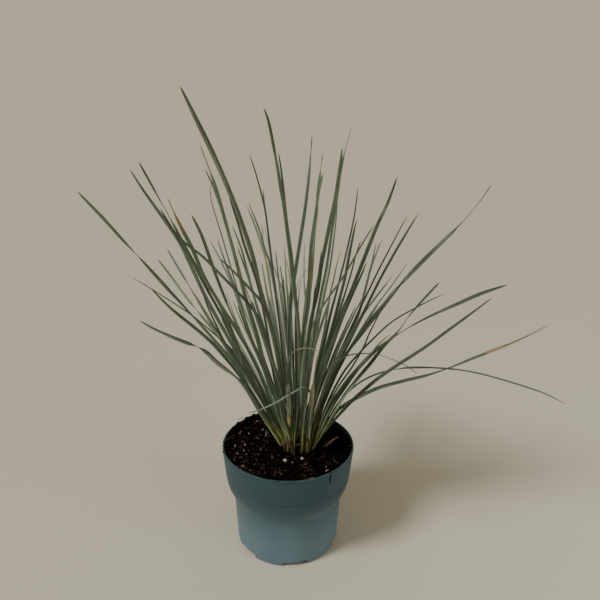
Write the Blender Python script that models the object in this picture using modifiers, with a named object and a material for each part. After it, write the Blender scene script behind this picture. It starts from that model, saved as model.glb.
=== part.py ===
"""Potted blue oat grass: a tuft of narrow blue-green leaves in a 14 cm nursery pot.

The pot stands on the origin with its axis along +Z. The leaves were traced in a reference view, tip first,
in pixels of a 600 by 600 frame. Each traced point lies on a sight line from EYE, and the leaf's depth says
how far along that line it is, so the tuft keeps its outline in that view and is round from every side.
"""

import math
import random
from collections import namedtuple

import bmesh
import bpy
import numpy as np
from mathutils import Vector, noise

# Pot, in metres
POT_HEIGHT = 0.112
WALL = 0.0012
LIP = 0.0017
LIP_ROUND = 0.0002
FLOOR = 0.0016
OUTER_RADII = (
    (0.0692, 0.1120),
    (0.0690, 0.1070),
    (0.0679, 0.0960),
    (0.0664, 0.0815),
    (0.0649, 0.0720),
    (0.0631, 0.0669),
    (0.0583, 0.0574),
    (0.0574, 0.0510),
    (0.0544, 0.0019),
    (0.0530, 0.0),
)
POT_STEPS = 32
DRAINS = 6
DRAIN_WIDTH = 0.026
DRAIN_HEIGHT = 0.005
DRAIN_DEPTH = 0.010
DRAIN_CENTRE = 0.0560
FIRST_DRAIN = math.radians(-80.0)

# Soil, in metres
TOUCH_GAP = 0.0003
SOIL_LEVEL = 0.1060
SOIL_RINGS = 5
SOIL_WALL_HEIGHTS = (0.0720, 0.0574, 0.0510)
SOIL_ROUGHNESS = 0.0016
SOIL_HEAP = 0.0042
HEAP_DIRECTION = Vector((-0.75, 0.66))
LUMPS_PER_M = 90.0
CLODS_PER_M = 210.0
CROWN_FLAT = 0.0265
CROWN_FADE = 0.012
EDGE_FADE = 0.004
EDGE_SHARE = 0.35

# Crown, where the shoots leave the soil
CROWN = Vector((0.0100, 0.0020))
CROWN_PIXEL = (298.0, 452.0)
CROWN_RADIUS = 0.0210
CROWN_SPACING = 0.0052
CROWN_ROUNDS = 300
CROWN_PULL = 0.01
CROWN_DEPTH = 0.20
LOW_ROW = 405.0
SHEATH_BASE = 0.0016
SHEATH_TOP = 0.0011
SHEATH_LENGTH = 0.024
SHEATH_SIDES = 5

# Leaves
LEAF_START = 0.0015
LEAF_STEP = 0.0007
KEEL_SHARE = 0.28
BLADE_THICKNESS = 0.0003
ARCH = 1.35
FINE_SAMPLES = 96
COARSE_SAMPLES = 20
STATIONS = 4
STATION_LENGTH = 0.12
STATION_TURN = math.radians(20.0)
PARTING_ROUNDS = 500
PARTING_GAP = 0.0004
PARTING_SHARE = 0.55
ASIDE_SHARE = 0.5
SPREAD_SHARE = 0.3
ROOT_REACH = 0.0030
NEAR_ROUNDS = 10
NEAR_ROOM = 0.010

# Reference view
EYE = Vector((0.01016, -0.47702, 0.40798))
PITCH = math.radians(16.30)
ROLL = math.radians(0.886)
FOCAL_PX = 508.93
CENTRE_PX = 300.0

Leaf = namedtuple("Leaf", "width depth turns path")


def leaf(width, depth, turns, *path):
    """A leaf by its width in mm, its tip's depth in cm, its turns in degrees and its traced points."""
    return Leaf(width * 0.001, depth * 0.01, turns, path)


SHOOTS = (
    # Low and wide on the left
    (
        leaf(4.4, -3, (20, 20, 80, 10, 30), (140, 320.5), (153, 328), (173.5, 337.5), (203, 349.5),
             (217.5, 362.5), (242.5, 383.5), (264, 418)),
        leaf(1.5, -1, (30, 60), (133, 277.5), (151.5, 288.5), (189, 312.7), (209, 329), (234.5, 351.7),
             (251, 374), (268, 412)),
    ),
    (
        leaf(4.2, -2, (30, 10, 20, 70, 20, 20), (77.3, 191), (103, 217.5), (125, 242), (146.5, 265),
             (168, 288.7), (196.5, 320), (215.5, 341), (236, 366), (254, 396), (271, 424)),
        leaf(4.2, 1, (10, 40), (151, 288), (172, 308.8), (204, 335), (222, 353), (243, 379), (265, 413)),
    ),
    (
        leaf(2.8, 5, (50, 20), (158.3, 259), (173.6, 279), (193.5, 305.8), (215.7, 331.8), (236, 357),
             (256, 388), (274, 425)),
        leaf(3.2, 7, (0, 40, 10), (167.4, 248.4), (185.8, 279.7), (202.7, 307.3), (221.8, 339.4),
             (238, 365), (260, 397), (276, 428)),
    ),
    (
        leaf(3.8, -5, (30, 20, 40), (130.3, 169), (143, 189), (163, 217.3), (179.7, 241.8), (192.7, 268.3),
             (208, 300.4), (227, 334.8), (245, 366), (266, 404), (280, 432)),
        leaf(1.8, -3, (40, 20), (203, 292), (209, 308.4), (218, 327.5), (228, 347), (247, 375), (268, 410)),
    ),
    (
        leaf(4.8, -8, (20, 30, 20), (139, 161.5), (156.7, 193.6), (173.6, 224), (190, 255), (204, 279),
             (219.5, 302.7), (235, 338), (248, 371), (266, 404), (281, 434)),
        leaf(2.6, -6, (60, 20), (160.6, 208.2), (172, 227.3), (190, 256), (207, 288), (226, 322), (243, 357),
             (263, 395), (280, 430)),
    ),
    (
        leaf(4.6, -10, (30, 20, 10, 60), (167.8, 197.4), (178.2, 220.4), (193.5, 249.9), (205, 277.4),
             (221.8, 305.8), (239.7, 333.9), (256, 363), (273, 403), (285, 436)),
        leaf(3.0, -8, (40, 20), (192, 214.3), (202.7, 236.5), (214, 268.3), (223.3, 292.8), (233.4, 317.3),
             (249, 350), (269, 392), (284, 430)),
    ),
    (
        leaf(2.6, -14, (40, 40), (176, 231), (186.6, 243.8), (202.7, 256), (221.8, 275.2), (239.4, 293.5),
             (253.8, 309.6), (262, 325), (272, 353), (281, 392), (288, 430)),
        leaf(2.0, -12, (40, 20), (220.4, 258.3), (232.5, 269.8), (241, 278.4), (253.8, 292.4),
             (261, 301), (271, 322), (280, 355), (287, 400)),
    ),
    (
        leaf(2.4, 9, (40, 40), (210.3, 240), (222.5, 262.9), (233.4, 286.7), (239.7, 304.5), (248.7, 330),
             (262, 362), (277, 402), (287, 438)),
        leaf(2.2, 11, (20, 30), (218, 239.5), (227, 265.2), (237, 292), (245.5, 322.4), (258, 354),
             (274, 394), (286, 434)),
    ),
    # Tall leaves left of the middle
    (
        leaf(1.4, 1.5, (40, 40), (210.7, 183), (212.2, 202), (221.9, 234.2), (234.6, 278.2), (246, 318),
             (262, 365), (280, 420)),
        leaf(5.0, 0, (20, 10, 30), (200.6, 145), (215.2, 184.8), (226.4, 223.4), (238.5, 268.6),
             (248, 304.5), (257, 334), (268.3, 378.7), (280.3, 408), (288, 438)),
        leaf(2.8, 2, (40, 40), (205.5, 168.6), (216, 192.5), (228, 228), (241, 275), (254, 325), (268, 370),
             (284, 420)),
    ),
    (
        leaf(4.5, -11, (10, 20, 10), (180.3, 85.4), (193, 111.4), (217.4, 162), (237.2, 209.3),
             (253, 255.3), (260.2, 286.7), (268.4, 315.4), (275.5, 344), (281, 375), (286, 411.7),
             (290, 440)),
        leaf(2.0, -10, (50, 20), (228.8, 195.5), (238.5, 224.6), (249, 262), (258, 300), (268, 340),
             (278, 380), (287, 425)),
    ),
    (
        leaf(3.8, 4, (20, 50), (232.4, 224.6), (242.3, 250.2), (251.9, 286.7), (260.2, 315.4), (269, 344),
             (275.4, 378.7), (283, 410), (289, 440)),
        leaf(2.2, 6, (50, 20), (237.8, 246.3), (248, 275), (257.6, 305.8), (266.5, 335), (277.5, 390),
             (286, 425)),
    ),
    (
        leaf(2.0, -5, (40, 50), (250, 153.5), (258.2, 180), (265.9, 211.9), (270, 245), (275, 284),
             (279.4, 318.8), (284, 365), (290, 430)),
        leaf(2.6, -3, (20, 50), (263.3, 189), (267.2, 220.8), (272, 258), (276.9, 299.6), (283, 345),
             (290, 410)),
    ),
    (
        leaf(2.8, 10, (10, 60), (247.4, 205.5), (256.3, 227.8), (264.8, 255), (269.2, 271), (271.1, 290),
             (276.1, 319), (280, 350), (287, 400)),
        leaf(2.4, 8, (40, 20), (248.7, 201.7), (258.9, 227.2), (265.3, 249), (270, 262), (275.6, 290.7),
             (281, 330), (287, 380), (291, 420)),
    ),
    (
        leaf(1.6, 13, (40, 20), (262.4, 224), (265, 250), (271, 290), (278, 330), (286, 390)),
        leaf(2.2, 15, (20, 50), (265.3, 227.2), (270, 250), (277, 290), (283.3, 330), (288, 380),
             (291, 420)),
    ),
    # The middle
    (
        leaf(4.2, -9, (20, 10, 30), (264.1, 107.2), (270.2, 125.7), (277.9, 168.4), (284.4, 207.4),
             (291.6, 264.6), (294, 285), (296, 300), (297.9, 318.8), (299.5, 345), (300, 390),
             (299, 430)),
        leaf(2.4, -7, (50, 30), (279.1, 152), (283, 179.3), (287.5, 222), (293, 262), (296, 300),
             (298.5, 350), (298.5, 400)),
    ),
    (
        leaf(4.4, 1, (20, 40, 10), (312.6, 134.6), (309.7, 173), (306.4, 203.3), (300.6, 241.5),
             (295.4, 274), (292.2, 291), (290.9, 309.2), (289.5, 335), (290, 380), (292, 425)),
        leaf(2.0, 2, (50, 30), (280.7, 264.6), (283.3, 283.7), (285.8, 303), (288, 340), (290, 390)),
    ),
    (
        leaf(2.2, 17, (20, 60), (287, 258.8), (290.3, 280.5), (291.5, 310), (293, 350), (293.5, 400)),
        leaf(2.2, 19, (50, 30), (273, 263), (278.2, 277.3), (283.3, 290.7), (285.8, 309.2), (289, 345),
             (292, 400)),
    ),
    (
        leaf(5.0, -6, (20, 10, 40), (323.5, 152.5), (319.6, 182.5), (316.6, 214.7), (312.7, 241.5),
             (310.8, 265), (308.8, 302.8), (305, 330), (302, 370), (300, 420)),
        leaf(2.8, -4.5, (50, 20), (323.8, 172.3), (318.8, 195.6), (315.6, 222.4), (313.5, 250), (311, 285),
             (306, 325), (302.5, 370)),
    ),
    (
        leaf(2.4, 10, (20, 40), (305.1, 243.4), (304.6, 265), (304.9, 283.7), (306.2, 302.8), (304.3, 325),
             (302.4, 338), (300, 375), (298, 420)),
        leaf(1.3, 8, (20, 50), (312, 264.6), (304.3, 273.5), (298.6, 283.7), (297.3, 290), (296, 310),
             (296, 350), (297, 400)),
    ),
    (
        leaf(4.8, -5, (10, 30, 10), (342.9, 146.8), (339, 178), (335.7, 200), (331.2, 219.8),
             (326.1, 244.7), (321.5, 267.8), (318.3, 290), (313.9, 309.2), (309.4, 328.3), (306, 355),
             (303, 400)),
        leaf(4.2, -2, (40, 20, 70), (352.5, 125.7), (345.5, 150.6), (341, 172), (337, 200), (332.2, 232),
             (327.4, 265), (322.8, 287), (318, 315), (313.9, 344), (308, 380), (304, 420)),
    ),
    (
        leaf(2.2, 7, (50, 30), (338.2, 202.6), (336, 225.6), (333, 250), (330.5, 267.8), (325.4, 293.3),
             (319, 325), (311, 370), (306, 415)),
        leaf(2.8, 5, (10, 60), (342.1, 248.5), (336.8, 266.5), (334.3, 279), (331, 292), (328.5, 309),
             (324, 335), (316, 375), (308, 420)),
    ),
    # Leaning right
    (
        leaf(3.0, 3, (10, 60), (358.3, 186.5), (356.7, 203.3), (353.2, 224.3), (346.5, 254.3),
             (342, 272.3), (336.4, 294.6), (331.3, 313.8), (324.7, 344.3), (315, 385), (309, 425)),
        leaf(3.4, 1, (40, 20), (357.5, 219), (354.6, 231), (350, 254), (345.3, 278.7), (339.6, 301),
             (333.8, 323.3), (326, 350), (317, 385), (310, 420)),
    ),
    (
        leaf(1.7, -9, (40, 30), (375, 225), (366.8, 237.2), (357.9, 252.5), (344.7, 275.5), (332.6, 292.7),
             (322.8, 307.3), (313.9, 324), (307.5, 340), (302, 370), (299, 420)),
        leaf(1.9, -7, (20, 50), (361.7, 239.7), (356.6, 254.4), (351.7, 273), (345.3, 294.6), (337, 322),
             (327, 352), (314, 390), (304, 425)),
    ),
    (
        leaf(5.0, -7, (20, 10, 50), (397.8, 177), (392.3, 192.5), (386.9, 206), (378.3, 223.8),
             (369.3, 246.7), (360.6, 269), (351, 293.4), (344.7, 307.4), (333.8, 336), (324, 366),
             (313, 410)),
        leaf(2.6, -5, (50, 20), (367.6, 261.5), (360.6, 278), (352.3, 296), (343, 318), (333, 345),
             (322, 378), (313, 412)),
    ),
    (
        leaf(2.4, 6, (40, 40), (376.7, 242.9), (373.2, 260), (369.2, 277.4), (363.8, 298.5), (356.8, 320),
             (346, 345), (332, 378), (317, 420)),
        leaf(2.6, 8, (20, 40), (381.8, 240.4), (377, 253), (371.1, 269), (365.4, 291), (359.3, 313.8),
             (350, 338), (336, 372), (319, 415)),
    ),
    (
        leaf(4.6, -2, (20, 20, 60, 60), (419, 213), (407, 232.7), (393.8, 255), (381.7, 276.8),
             (371.5, 297.2), (360, 320.8), (349, 342.5), (336, 368), (321, 405)),
        leaf(1.7, 1, (30, 40), (407.9, 215.5), (400.6, 229), (389.6, 250), (379.7, 269), (370, 289),
             (359, 312), (346, 340), (331, 372), (317, 412)),
    ),
    (
        leaf(5.2, 4, (20, 10, 60, 10, 75, 60), (492, 184.5), (479.6, 202.3), (461.4, 223.5),
             (441.5, 243), (416.6, 267.8), (397.6, 288.3), (383.6, 306), (364.4, 329.7), (345, 357),
             (329, 388), (317, 425)),
        leaf(1.7, 4.5, (20, 50), (393, 275.5), (381, 290.8), (374, 299.7), (363, 316), (349, 340),
             (334, 370), (320, 405)),
    ),
    (
        leaf(1.7, 11, (20, 50), (408.4, 262), (400.2, 274.2), (391.2, 287), (382.3, 298.5), (372, 313),
             (357, 337), (340, 368), (323, 408)),
        leaf(2.2, 12, (40, 10), (388, 283), (376, 298), (364, 314), (349, 338), (334, 370), (320, 408)),
    ),
    (
        leaf(4.2, -4, (40, 10, 60), (440.8, 281.6), (422.5, 301), (409.7, 315.7), (398.9, 331),
             (384.8, 345.7), (371.4, 363), (358, 379), (344.7, 396), (331, 418)),
        leaf(1.9, -3, (30, 50), (384.5, 306), (377.2, 319), (369.5, 334.2), (363.2, 349), (352, 368),
             (338, 388), (324, 415)),
    ),
    (
        leaf(1.9, 2, (20, 50), (444.8, 293.6), (421.8, 304.8), (393.8, 320.8), (374.6, 338), (360.9, 352),
             (346, 369.5), (333, 392), (321, 420)),
        leaf(4.2, 0, (30, 40, 10), (508.6, 284.5), (481.5, 293.6), (457.6, 304), (430, 316.3),
             (409.7, 327.2), (393.8, 337.4), (375.6, 351), (360.2, 366.7), (346, 383.5), (332, 404),
             (322, 425)),
    ),
    (
        leaf(4.6, -5, (30, 20, 30), (492.7, 297.6), (473.5, 312), (449.6, 329.5), (425.7, 347),
             (395.3, 366.7), (379, 378), (364.4, 390), (352.5, 400.4), (337.7, 415.8), (327, 428)),
        leaf(2.8, -3, (20, 50), (391, 334), (381, 342.5), (372, 353), (360, 368), (346, 387), (331, 410)),
    ),
    (
        leaf(4.6, 2, (20, 40, 10, 30), (549, 325), (524.6, 337.5), (494.3, 350.2), (473.5, 358.2),
             (449.6, 367.8), (425.7, 375.7), (400, 382), (377.7, 388.4), (353, 400), (334.9, 411.6),
             (325, 424)),
        leaf(1.9, -1, (30, 30), (352, 403), (342, 408), (332.8, 420), (324, 433)),
    ),
    (
        leaf(2.4, -4, (60, 30), (566, 404), (548, 394.5), (524.6, 386.1), (489.5, 375.7), (465.6, 370.5),
             (441.6, 368), (419.3, 367.3), (401.8, 368.3), (379.8, 373), (358, 384), (338, 404),
             (325, 426)),
    ),
    # Short leaves in front
    (
        leaf(2.2, -7, (20, 50), (248.5, 413), (260.6, 410), (276.8, 402.5), (292.2, 393.4),
             (303.4, 388.2), (309.5, 390), (312.5, 397), (311, 408), (309, 422), (306.5, 440)),
    ),
    (
        leaf(5.0, -7, (10, 10), (289, 384), (288.7, 394), (289.5, 405), (289.7, 415), (290, 430)),
        leaf(2.4, -9, (20, 60), (319.8, 352), (315, 349.5), (308, 348), (301, 348.5), (294, 351.5),
             (290, 358), (287.5, 372), (287.5, 400), (291, 435)),
    ),
    (
        leaf(2.6, -7, (50, 10), (318, 352), (315.5, 372), (313, 392), (310.5, 415), (308, 440)),
    ),
    (
        leaf(2.0, -8, (50, 30), (418.5, 374.2), (406.6, 365.4), (393.8, 359.8), (381.2, 355.4),
             (365.8, 353.3), (349.6, 355.1), (336.3, 361.8), (325.1, 372.3), (318, 386), (312, 405),
             (306, 428)),
    ),
    # Inside the tuft, front
    (
        leaf(3.4, -11, (10, 40), (330, 300), (322, 325), (314, 352), (308, 390), (303, 425)),
        leaf(3.2, -9, (40, 10), (316, 285), (314, 310), (309, 340), (305, 380), (302, 425)),
    ),
    (
        leaf(3.4, -11, (30, 10), (252, 300), (260, 325), (270, 352), (281, 392), (290, 432)),
        leaf(3.2, -9, (10, 50), (238, 305), (250, 335), (264, 365), (279, 405), (290, 440)),
    ),
    (
        leaf(3.2, -11, (10, 50), (345, 312), (336, 335), (325, 362), (314, 398), (307, 430)),
        leaf(3.0, -9, (40, 20), (362, 318), (350, 338), (336, 362), (322, 396), (311, 430)),
    ),
    (
        leaf(3.0, -10, (30, 30), (222, 318), (234, 340), (249, 365), (268, 400), (284, 436)),
        leaf(2.6, -8, (10, 50), (214, 326), (228, 346), (246, 372), (267, 408), (282, 436)),
    ),
    # Inside the tuft, back
    (
        leaf(3.0, 17, (10, 60), (330, 262), (324, 290), (317, 325), (309, 370), (304, 420)),
        leaf(3.2, 17, (60, 20), (313, 240), (309, 280), (304, 320), (301, 370), (299, 420)),
    ),
    (
        leaf(3.0, 18, (50, 10), (262, 262), (268, 295), (275, 335), (284, 385), (291, 430)),
        leaf(2.6, 19, (20, 60), (243, 278), (253, 308), (265, 343), (280, 390), (290, 430)),
    ),
    (
        leaf(3.2, 19, (20, 50), (285, 245), (287, 280), (290, 320), (293, 370), (296, 420)),
        leaf(2.6, 17, (50, 20), (276, 250), (280, 285), (285, 325), (291, 375), (295, 420)),
    ),
    (
        leaf(2.8, 23, (10, 60), (288, 285), (289, 297), (291.5, 328), (294.5, 375), (297, 420)),
        leaf(2.6, 24, (20, 60), (303, 281), (301.5, 283), (299.5, 294), (298, 325), (298, 375), (298, 420)),
    ),
    (
        leaf(2.8, 20, (20, 60), (352, 275), (343, 300), (331, 335), (318, 380), (309, 425)),
        leaf(2.6, 18, (60, 10), (343, 268), (336, 295), (326, 332), (315, 378), (307, 425)),
    ),
    (
        leaf(2.8, 14, (60, 20), (235, 285), (246, 312), (259, 345), (276, 390), (289, 430)),
        leaf(2.8, 14, (50, 10), (215, 305), (230, 328), (248, 358), (268, 395), (285, 432)),
    ),
    (
        leaf(2.8, 15, (10, 50), (379, 305), (364, 327), (347, 354), (331, 386), (317, 420)),
        leaf(2.6, 13, (50, 30), (366, 292), (354, 316), (340, 346), (326, 382), (314, 420)),
    ),
    (
        leaf(2.6, 9, (20, 60), (226.7, 292.4), (234, 314), (245, 340), (262, 375), (281, 420)),
        leaf(2.4, 7, (20, 50), (233, 300), (244, 326), (259, 358), (275, 396), (288, 432)),
    ),
    (
        leaf(2.8, 13, (50, 10), (322, 250), (318, 285), (312, 325), (306, 370), (302, 420)),
        leaf(2.6, 12, (60, 10), (318, 275), (314, 305), (308, 345), (303, 385), (300, 425)),
    ),
    (
        leaf(2.6, 9, (20, 50), (346, 290), (337, 315), (327, 345), (316, 385), (308, 425)),
        leaf(2.4, 7, (60, 10), (357, 305), (345, 330), (332, 360), (319, 395), (309, 428)),
    ),
    (
        leaf(3.0, 13, (20, 60), (296, 270), (296, 300), (296, 340), (297, 380), (298, 425)),
        leaf(2.6, 12, (60, 10), (284, 276), (286, 305), (290, 345), (293, 385), (296, 425)),
    ),
    (
        leaf(2.6, 3, (20, 60), (282, 290), (285, 318), (288, 350), (292, 390), (295, 430)),
        leaf(2.4, 5, (50, 20), (270, 296), (275, 322), (281, 355), (288, 392), (294, 430)),
    ),
    (
        leaf(2.6, 4, (50, 10), (307, 296), (304, 322), (302, 355), (300, 392), (299, 430)),
        leaf(2.4, 2, (20, 50), (319, 304), (314, 328), (309, 358), (304, 395), (300, 430)),
    ),
)


def sight(u, v):
    """Direction of the sight line through pixel (u, v) of the reference view."""
    forward = Vector((0.0, math.cos(PITCH), -math.sin(PITCH)))
    level = Vector((1.0, 0.0, 0.0))
    upward = Vector((0.0, math.sin(PITCH), math.cos(PITCH)))
    right = math.cos(ROLL) * level + math.sin(ROLL) * upward
    up = math.cos(ROLL) * upward - math.sin(ROLL) * level
    return forward + right * ((u - CENTRE_PX) / FOCAL_PX) + up * ((CENTRE_PX - v) / FOCAL_PX)


def at_depth(u, v, depth):
    """Point of the sight line through pixel (u, v) where y is depth."""
    ray = sight(u, v)
    return EYE + ray * ((depth - EYE.y) / ray.y)


def pixel_of(point):
    """Pixel of the reference view that shows a point."""
    forward = Vector((0.0, math.cos(PITCH), -math.sin(PITCH)))
    upward = Vector((0.0, math.sin(PITCH), math.cos(PITCH)))
    right = math.cos(ROLL) * Vector((1.0, 0.0, 0.0)) + math.sin(ROLL) * upward
    up = math.cos(ROLL) * upward - math.sin(ROLL) * Vector((1.0, 0.0, 0.0))
    ray = point - EYE
    ahead = ray.dot(forward)
    return CENTRE_PX + FOCAL_PX * ray.dot(right) / ahead, CENTRE_PX - FOCAL_PX * ray.dot(up) / ahead


def crown_places():
    """Where each shoot leaves the soil: toward the side it leans to, and clear of its neighbours."""
    leans = []
    for leaves in SHOOTS:
        total = Vector((0.0, 0.0))
        for blade in leaves:
            u, v = min(blade.path, key=lambda pixel: abs(pixel[1] - LOW_ROW))
            aside = (u - CROWN_PIXEL[0]) / (CROWN_PIXEL[1] - v)
            total += Vector((aside, blade.depth / CROWN_DEPTH))
        leans.append(total / len(leaves))
    widest = max(lean.length for lean in leans)
    places = [lean * (CROWN_RADIUS / widest) for lean in leans]
    for _ in range(CROWN_ROUNDS):
        moves = [-place * CROWN_PULL for place in places]
        for i, one in enumerate(places):
            for j, other in enumerate(places[:i]):
                gap = one - other
                short = CROWN_SPACING - gap.length
                if short > 0.0:
                    push = gap.normalized() * (0.5 * short)
                    moves[i] += push
                    moves[j] -= push
        places = [place + move for place, move in zip(places, moves)]
    return [CROWN + place for place in places]


def smooth_line(points, count):
    """Points at even lengths along a smooth curve through points."""
    ends = [2 * points[0] - points[1]] + list(points) + [2 * points[-1] - points[-2]]
    fine = []
    for a, b, c, d in zip(ends, ends[1:], ends[2:], ends[3:]):
        for i in range(8):
            t = i / 8.0
            fine.append(0.5 * (2 * b + (c - a) * t + (2 * a - 5 * b + 4 * c - d) * t * t
                               + (3 * b - a - 3 * c + d) * t * t * t))
    fine.append(points[-1].copy())
    return even(fine, count)


def even(points, count):
    """Resample a polyline at count even lengths."""
    lengths = [0.0]
    for a, b in zip(points, points[1:]):
        lengths.append(lengths[-1] + (b - a).length)
    line = []
    k = 0
    for i in range(count):
        target = lengths[-1] * i / (count - 1)
        while k < len(points) - 2 and lengths[k + 1] < target:
            k += 1
        span = max(lengths[k + 1] - lengths[k], 1e-9)
        line.append(points[k].lerp(points[k + 1], (target - lengths[k]) / span))
    return line


def centre_line(blade, root, start):
    """Stations along a leaf's centre line, root first, more of them on a long or bent leaf."""
    base = Vector((root.x, root.y, SOIL_LEVEL + start))
    pixels = [pixel_of(base)] + list(reversed(blade.path))
    along = [0.0]
    for (u0, v0), (u1, v1) in zip(pixels, pixels[1:]):
        along.append(along[-1] + math.hypot(u1 - u0, v1 - v0))
    points = [base]
    for (u, v), length in zip(pixels[1:], along[1:]):
        share = (length / along[-1]) ** ARCH
        points.append(at_depth(u, v, root.y + (blade.depth - root.y) * share))
    fine = smooth_line(points, FINE_SAMPLES)
    length = sum((b - a).length for a, b in zip(fine, fine[1:]))
    coarse = even(fine, COARSE_SAMPLES)
    bend = sum((b - a).angle(c - b) for a, b, c in zip(coarse, coarse[1:], coarse[2:]))
    return even(fine, STATIONS + int(length / STATION_LENGTH) + int(bend / STATION_TURN))


def width_share(s):
    """Width of a leaf along its length from 0 to 1, as a share of its full width."""
    if s < 0.35:
        t = s / 0.35
        return 0.62 + 0.38 * t * t * (3 - 2 * t)
    if s < 0.55:
        return 1.0
    t = (s - 0.55) / 0.45
    return max(0.05, 1.0 - t ** 1.7)


def blade_room(width, s):
    """Room that a leaf needs on each side of its centre line."""
    return max(0.5 * width, KEEL_SHARE * width + BLADE_THICKNESS) * width_share(s)


def lengths_of(vectors):
    """Length of each row of an array of vectors."""
    return np.sqrt((vectors * vectors).sum(axis=1))


def closest_shares(a0, a1, b0, b1):
    """For pairs of straight stretches, how far along each one its closest point to the other is."""
    run_a = a1 - a0
    run_b = b1 - b0
    apart = a0 - b0
    aa = (run_a * run_a).sum(axis=1)
    bb = (run_b * run_b).sum(axis=1)
    ab = (run_a * run_b).sum(axis=1)
    ac = (run_a * apart).sum(axis=1)
    bc = (run_b * apart).sum(axis=1)
    share_a = np.clip((ab * bc - ac * bb) / np.maximum(aa * bb - ab * ab, 1e-12), 0.0, 1.0)
    share_b = np.clip((ab * share_a + bc) / bb, 0.0, 1.0)
    share_a = np.clip((ab * share_b - ac) / aa, 0.0, 1.0)
    return share_a, share_b


def part_leaves(lines, widths, owners):
    """Move leaves apart where they would touch above their sheaths, mostly along the view, and roots aside."""
    points = np.array([tuple(point) for line in lines for point in line])
    leaf_of = np.repeat(np.arange(len(lines)), [len(line) for line in lines])
    owner_of = np.array(owners)[leaf_of]
    rooms = np.array([blade_room(width, i / (len(line) - 1))
                      for line, width in zip(lines, widths) for i in range(len(line))])
    is_root = np.array([i == 0 for line in lines for i in range(len(line))])
    low = np.flatnonzero(leaf_of[:-1] == leaf_of[1:])
    one, two = np.triu_indices(len(low), 1)
    sisters = owner_of[low[one]] == owner_of[low[two]]
    joined = sisters & (is_root[low[one]] | is_root[low[two]] | (leaf_of[low[one]] == leaf_of[low[two]]))
    one = one[~joined]
    two = two[~joined]
    eye = np.array(EYE)
    homes = points[is_root, :2].copy()
    for turn in range(PARTING_ROUNDS):
        if turn % NEAR_ROUNDS == 0:
            middles = 0.5 * (points[low] + points[low + 1])
            halves = 0.5 * lengths_of(points[low + 1] - points[low])
            near = lengths_of(middles[one] - middles[two]) < halves[one] + halves[two] + NEAR_ROOM
            a = low[one[near]]
            b = low[two[near]]
        share_a, share_b = closest_shares(points[a], points[a + 1], points[b], points[b + 1])
        spot_a = points[a] + (points[a + 1] - points[a]) * share_a[:, None]
        spot_b = points[b] + (points[b + 1] - points[b]) * share_b[:, None]
        need = np.full(len(a), PARTING_GAP)
        for ends, share, spot in ((a, share_a, spot_a), (b, share_b, spot_b)):
            room = rooms[ends] * (1.0 - share) + rooms[ends + 1] * share
            sheathed = spot[:, 2] < SOIL_LEVEL + SHEATH_LENGTH
            need += np.where(sheathed, np.maximum(room, SHEATH_BASE), room)
        gap = spot_a - spot_b
        distance = np.maximum(lengths_of(gap), 1e-6)
        short = distance < need
        if not short.any():
            break
        look = spot_a - eye
        look /= lengths_of(look)[:, None]
        along = (gap * look).sum(axis=1)[:, None] * look
        push = (along + ASIDE_SHARE * (gap - along)) * (PARTING_SHARE * (need - distance) / distance)[:, None]
        forth = np.zeros((len(points), 3))
        back = np.zeros((len(points), 3))
        for ends, share, move in ((a, share_a, push), (b, share_b, -push)):
            for station, part in ((ends, 1.0 - share), (ends + 1, share)):
                np.maximum.at(forth, station[short], (move * part[:, None])[short])
                np.minimum.at(back, station[short], (move * part[:, None])[short])
        moves = forth + back
        spread = np.zeros((len(points), 3))
        spread[low] += SPREAD_SHARE * moves[low + 1]
        spread[low + 1] += SPREAD_SHARE * moves[low]
        moves = np.where(moves == 0.0, spread, moves)
        aside = np.zeros((owner_of.max() + 1, 2))
        np.add.at(aside, owner_of[is_root], moves[is_root, :2])
        moves[is_root] = 0.0
        points += moves
        points[is_root, :2] = np.clip(points[is_root, :2] + aside[owner_of[is_root]],
                                      homes - ROOT_REACH, homes + ROOT_REACH)
    first = 0
    for line in lines:
        for i in range(len(line)):
            line[i] = Vector(points[first + i])
        first += len(line)


def frame_at(line, i, turn):
    """Unit vectors across and out of a leaf at a station, turned from facing the viewer."""
    ahead = (line[min(i + 1, len(line) - 1)] - line[max(i - 1, 0)]).normalized()
    across = ahead.cross(EYE - line[i]).normalized()
    out = across.cross(ahead).normalized()
    c = math.cos(turn)
    s = math.sin(turn)
    return across * c + out * s, out * c - across * s


def turn_at(turns, s):
    """Turn of a leaf in radians at s, between evenly spaced turns in degrees."""
    x = s * (len(turns) - 1)
    k = min(int(x), len(turns) - 2)
    t = x - k
    t = t * t * (3 - 2 * t)
    return math.radians(turns[k] * (1 - t) + turns[k + 1] * t)


def loft(name, rings):
    """A closed mesh object through rings of points, with a cap at each end."""
    shape = bmesh.new()
    loops = [[shape.verts.new(point) for point in ring] for ring in rings]
    for low, high in zip(loops, loops[1:]):
        count = len(low)
        for i in range(count):
            j = (i + 1) % count
            shape.faces.new((low[i], low[j], high[j], high[i]))
    shape.faces.new(reversed(loops[0]))
    shape.faces.new(loops[-1])
    bmesh.ops.recalc_face_normals(shape, faces=shape.faces)
    bmesh.ops.triangulate(shape, faces=shape.faces)
    mesh = bpy.data.meshes.new(name)
    shape.to_mesh(mesh)
    shape.free()
    return bpy.data.objects.new(name, mesh)


def blade_object(name, blade, line):
    """A leaf blade: a shallow V that narrows to its tip and turns along its length."""
    rings = []
    for i, point in enumerate(line):
        s = i / (len(line) - 1)
        width = blade.width * width_share(s)
        across, out = frame_at(line, i, turn_at(blade.turns, s))
        keel = out * (width * KEEL_SHARE + BLADE_THICKNESS)
        rings.append([point + across * (width / 2), point - across * (width / 2), point - keel])
    return loft(name, rings)


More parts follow.
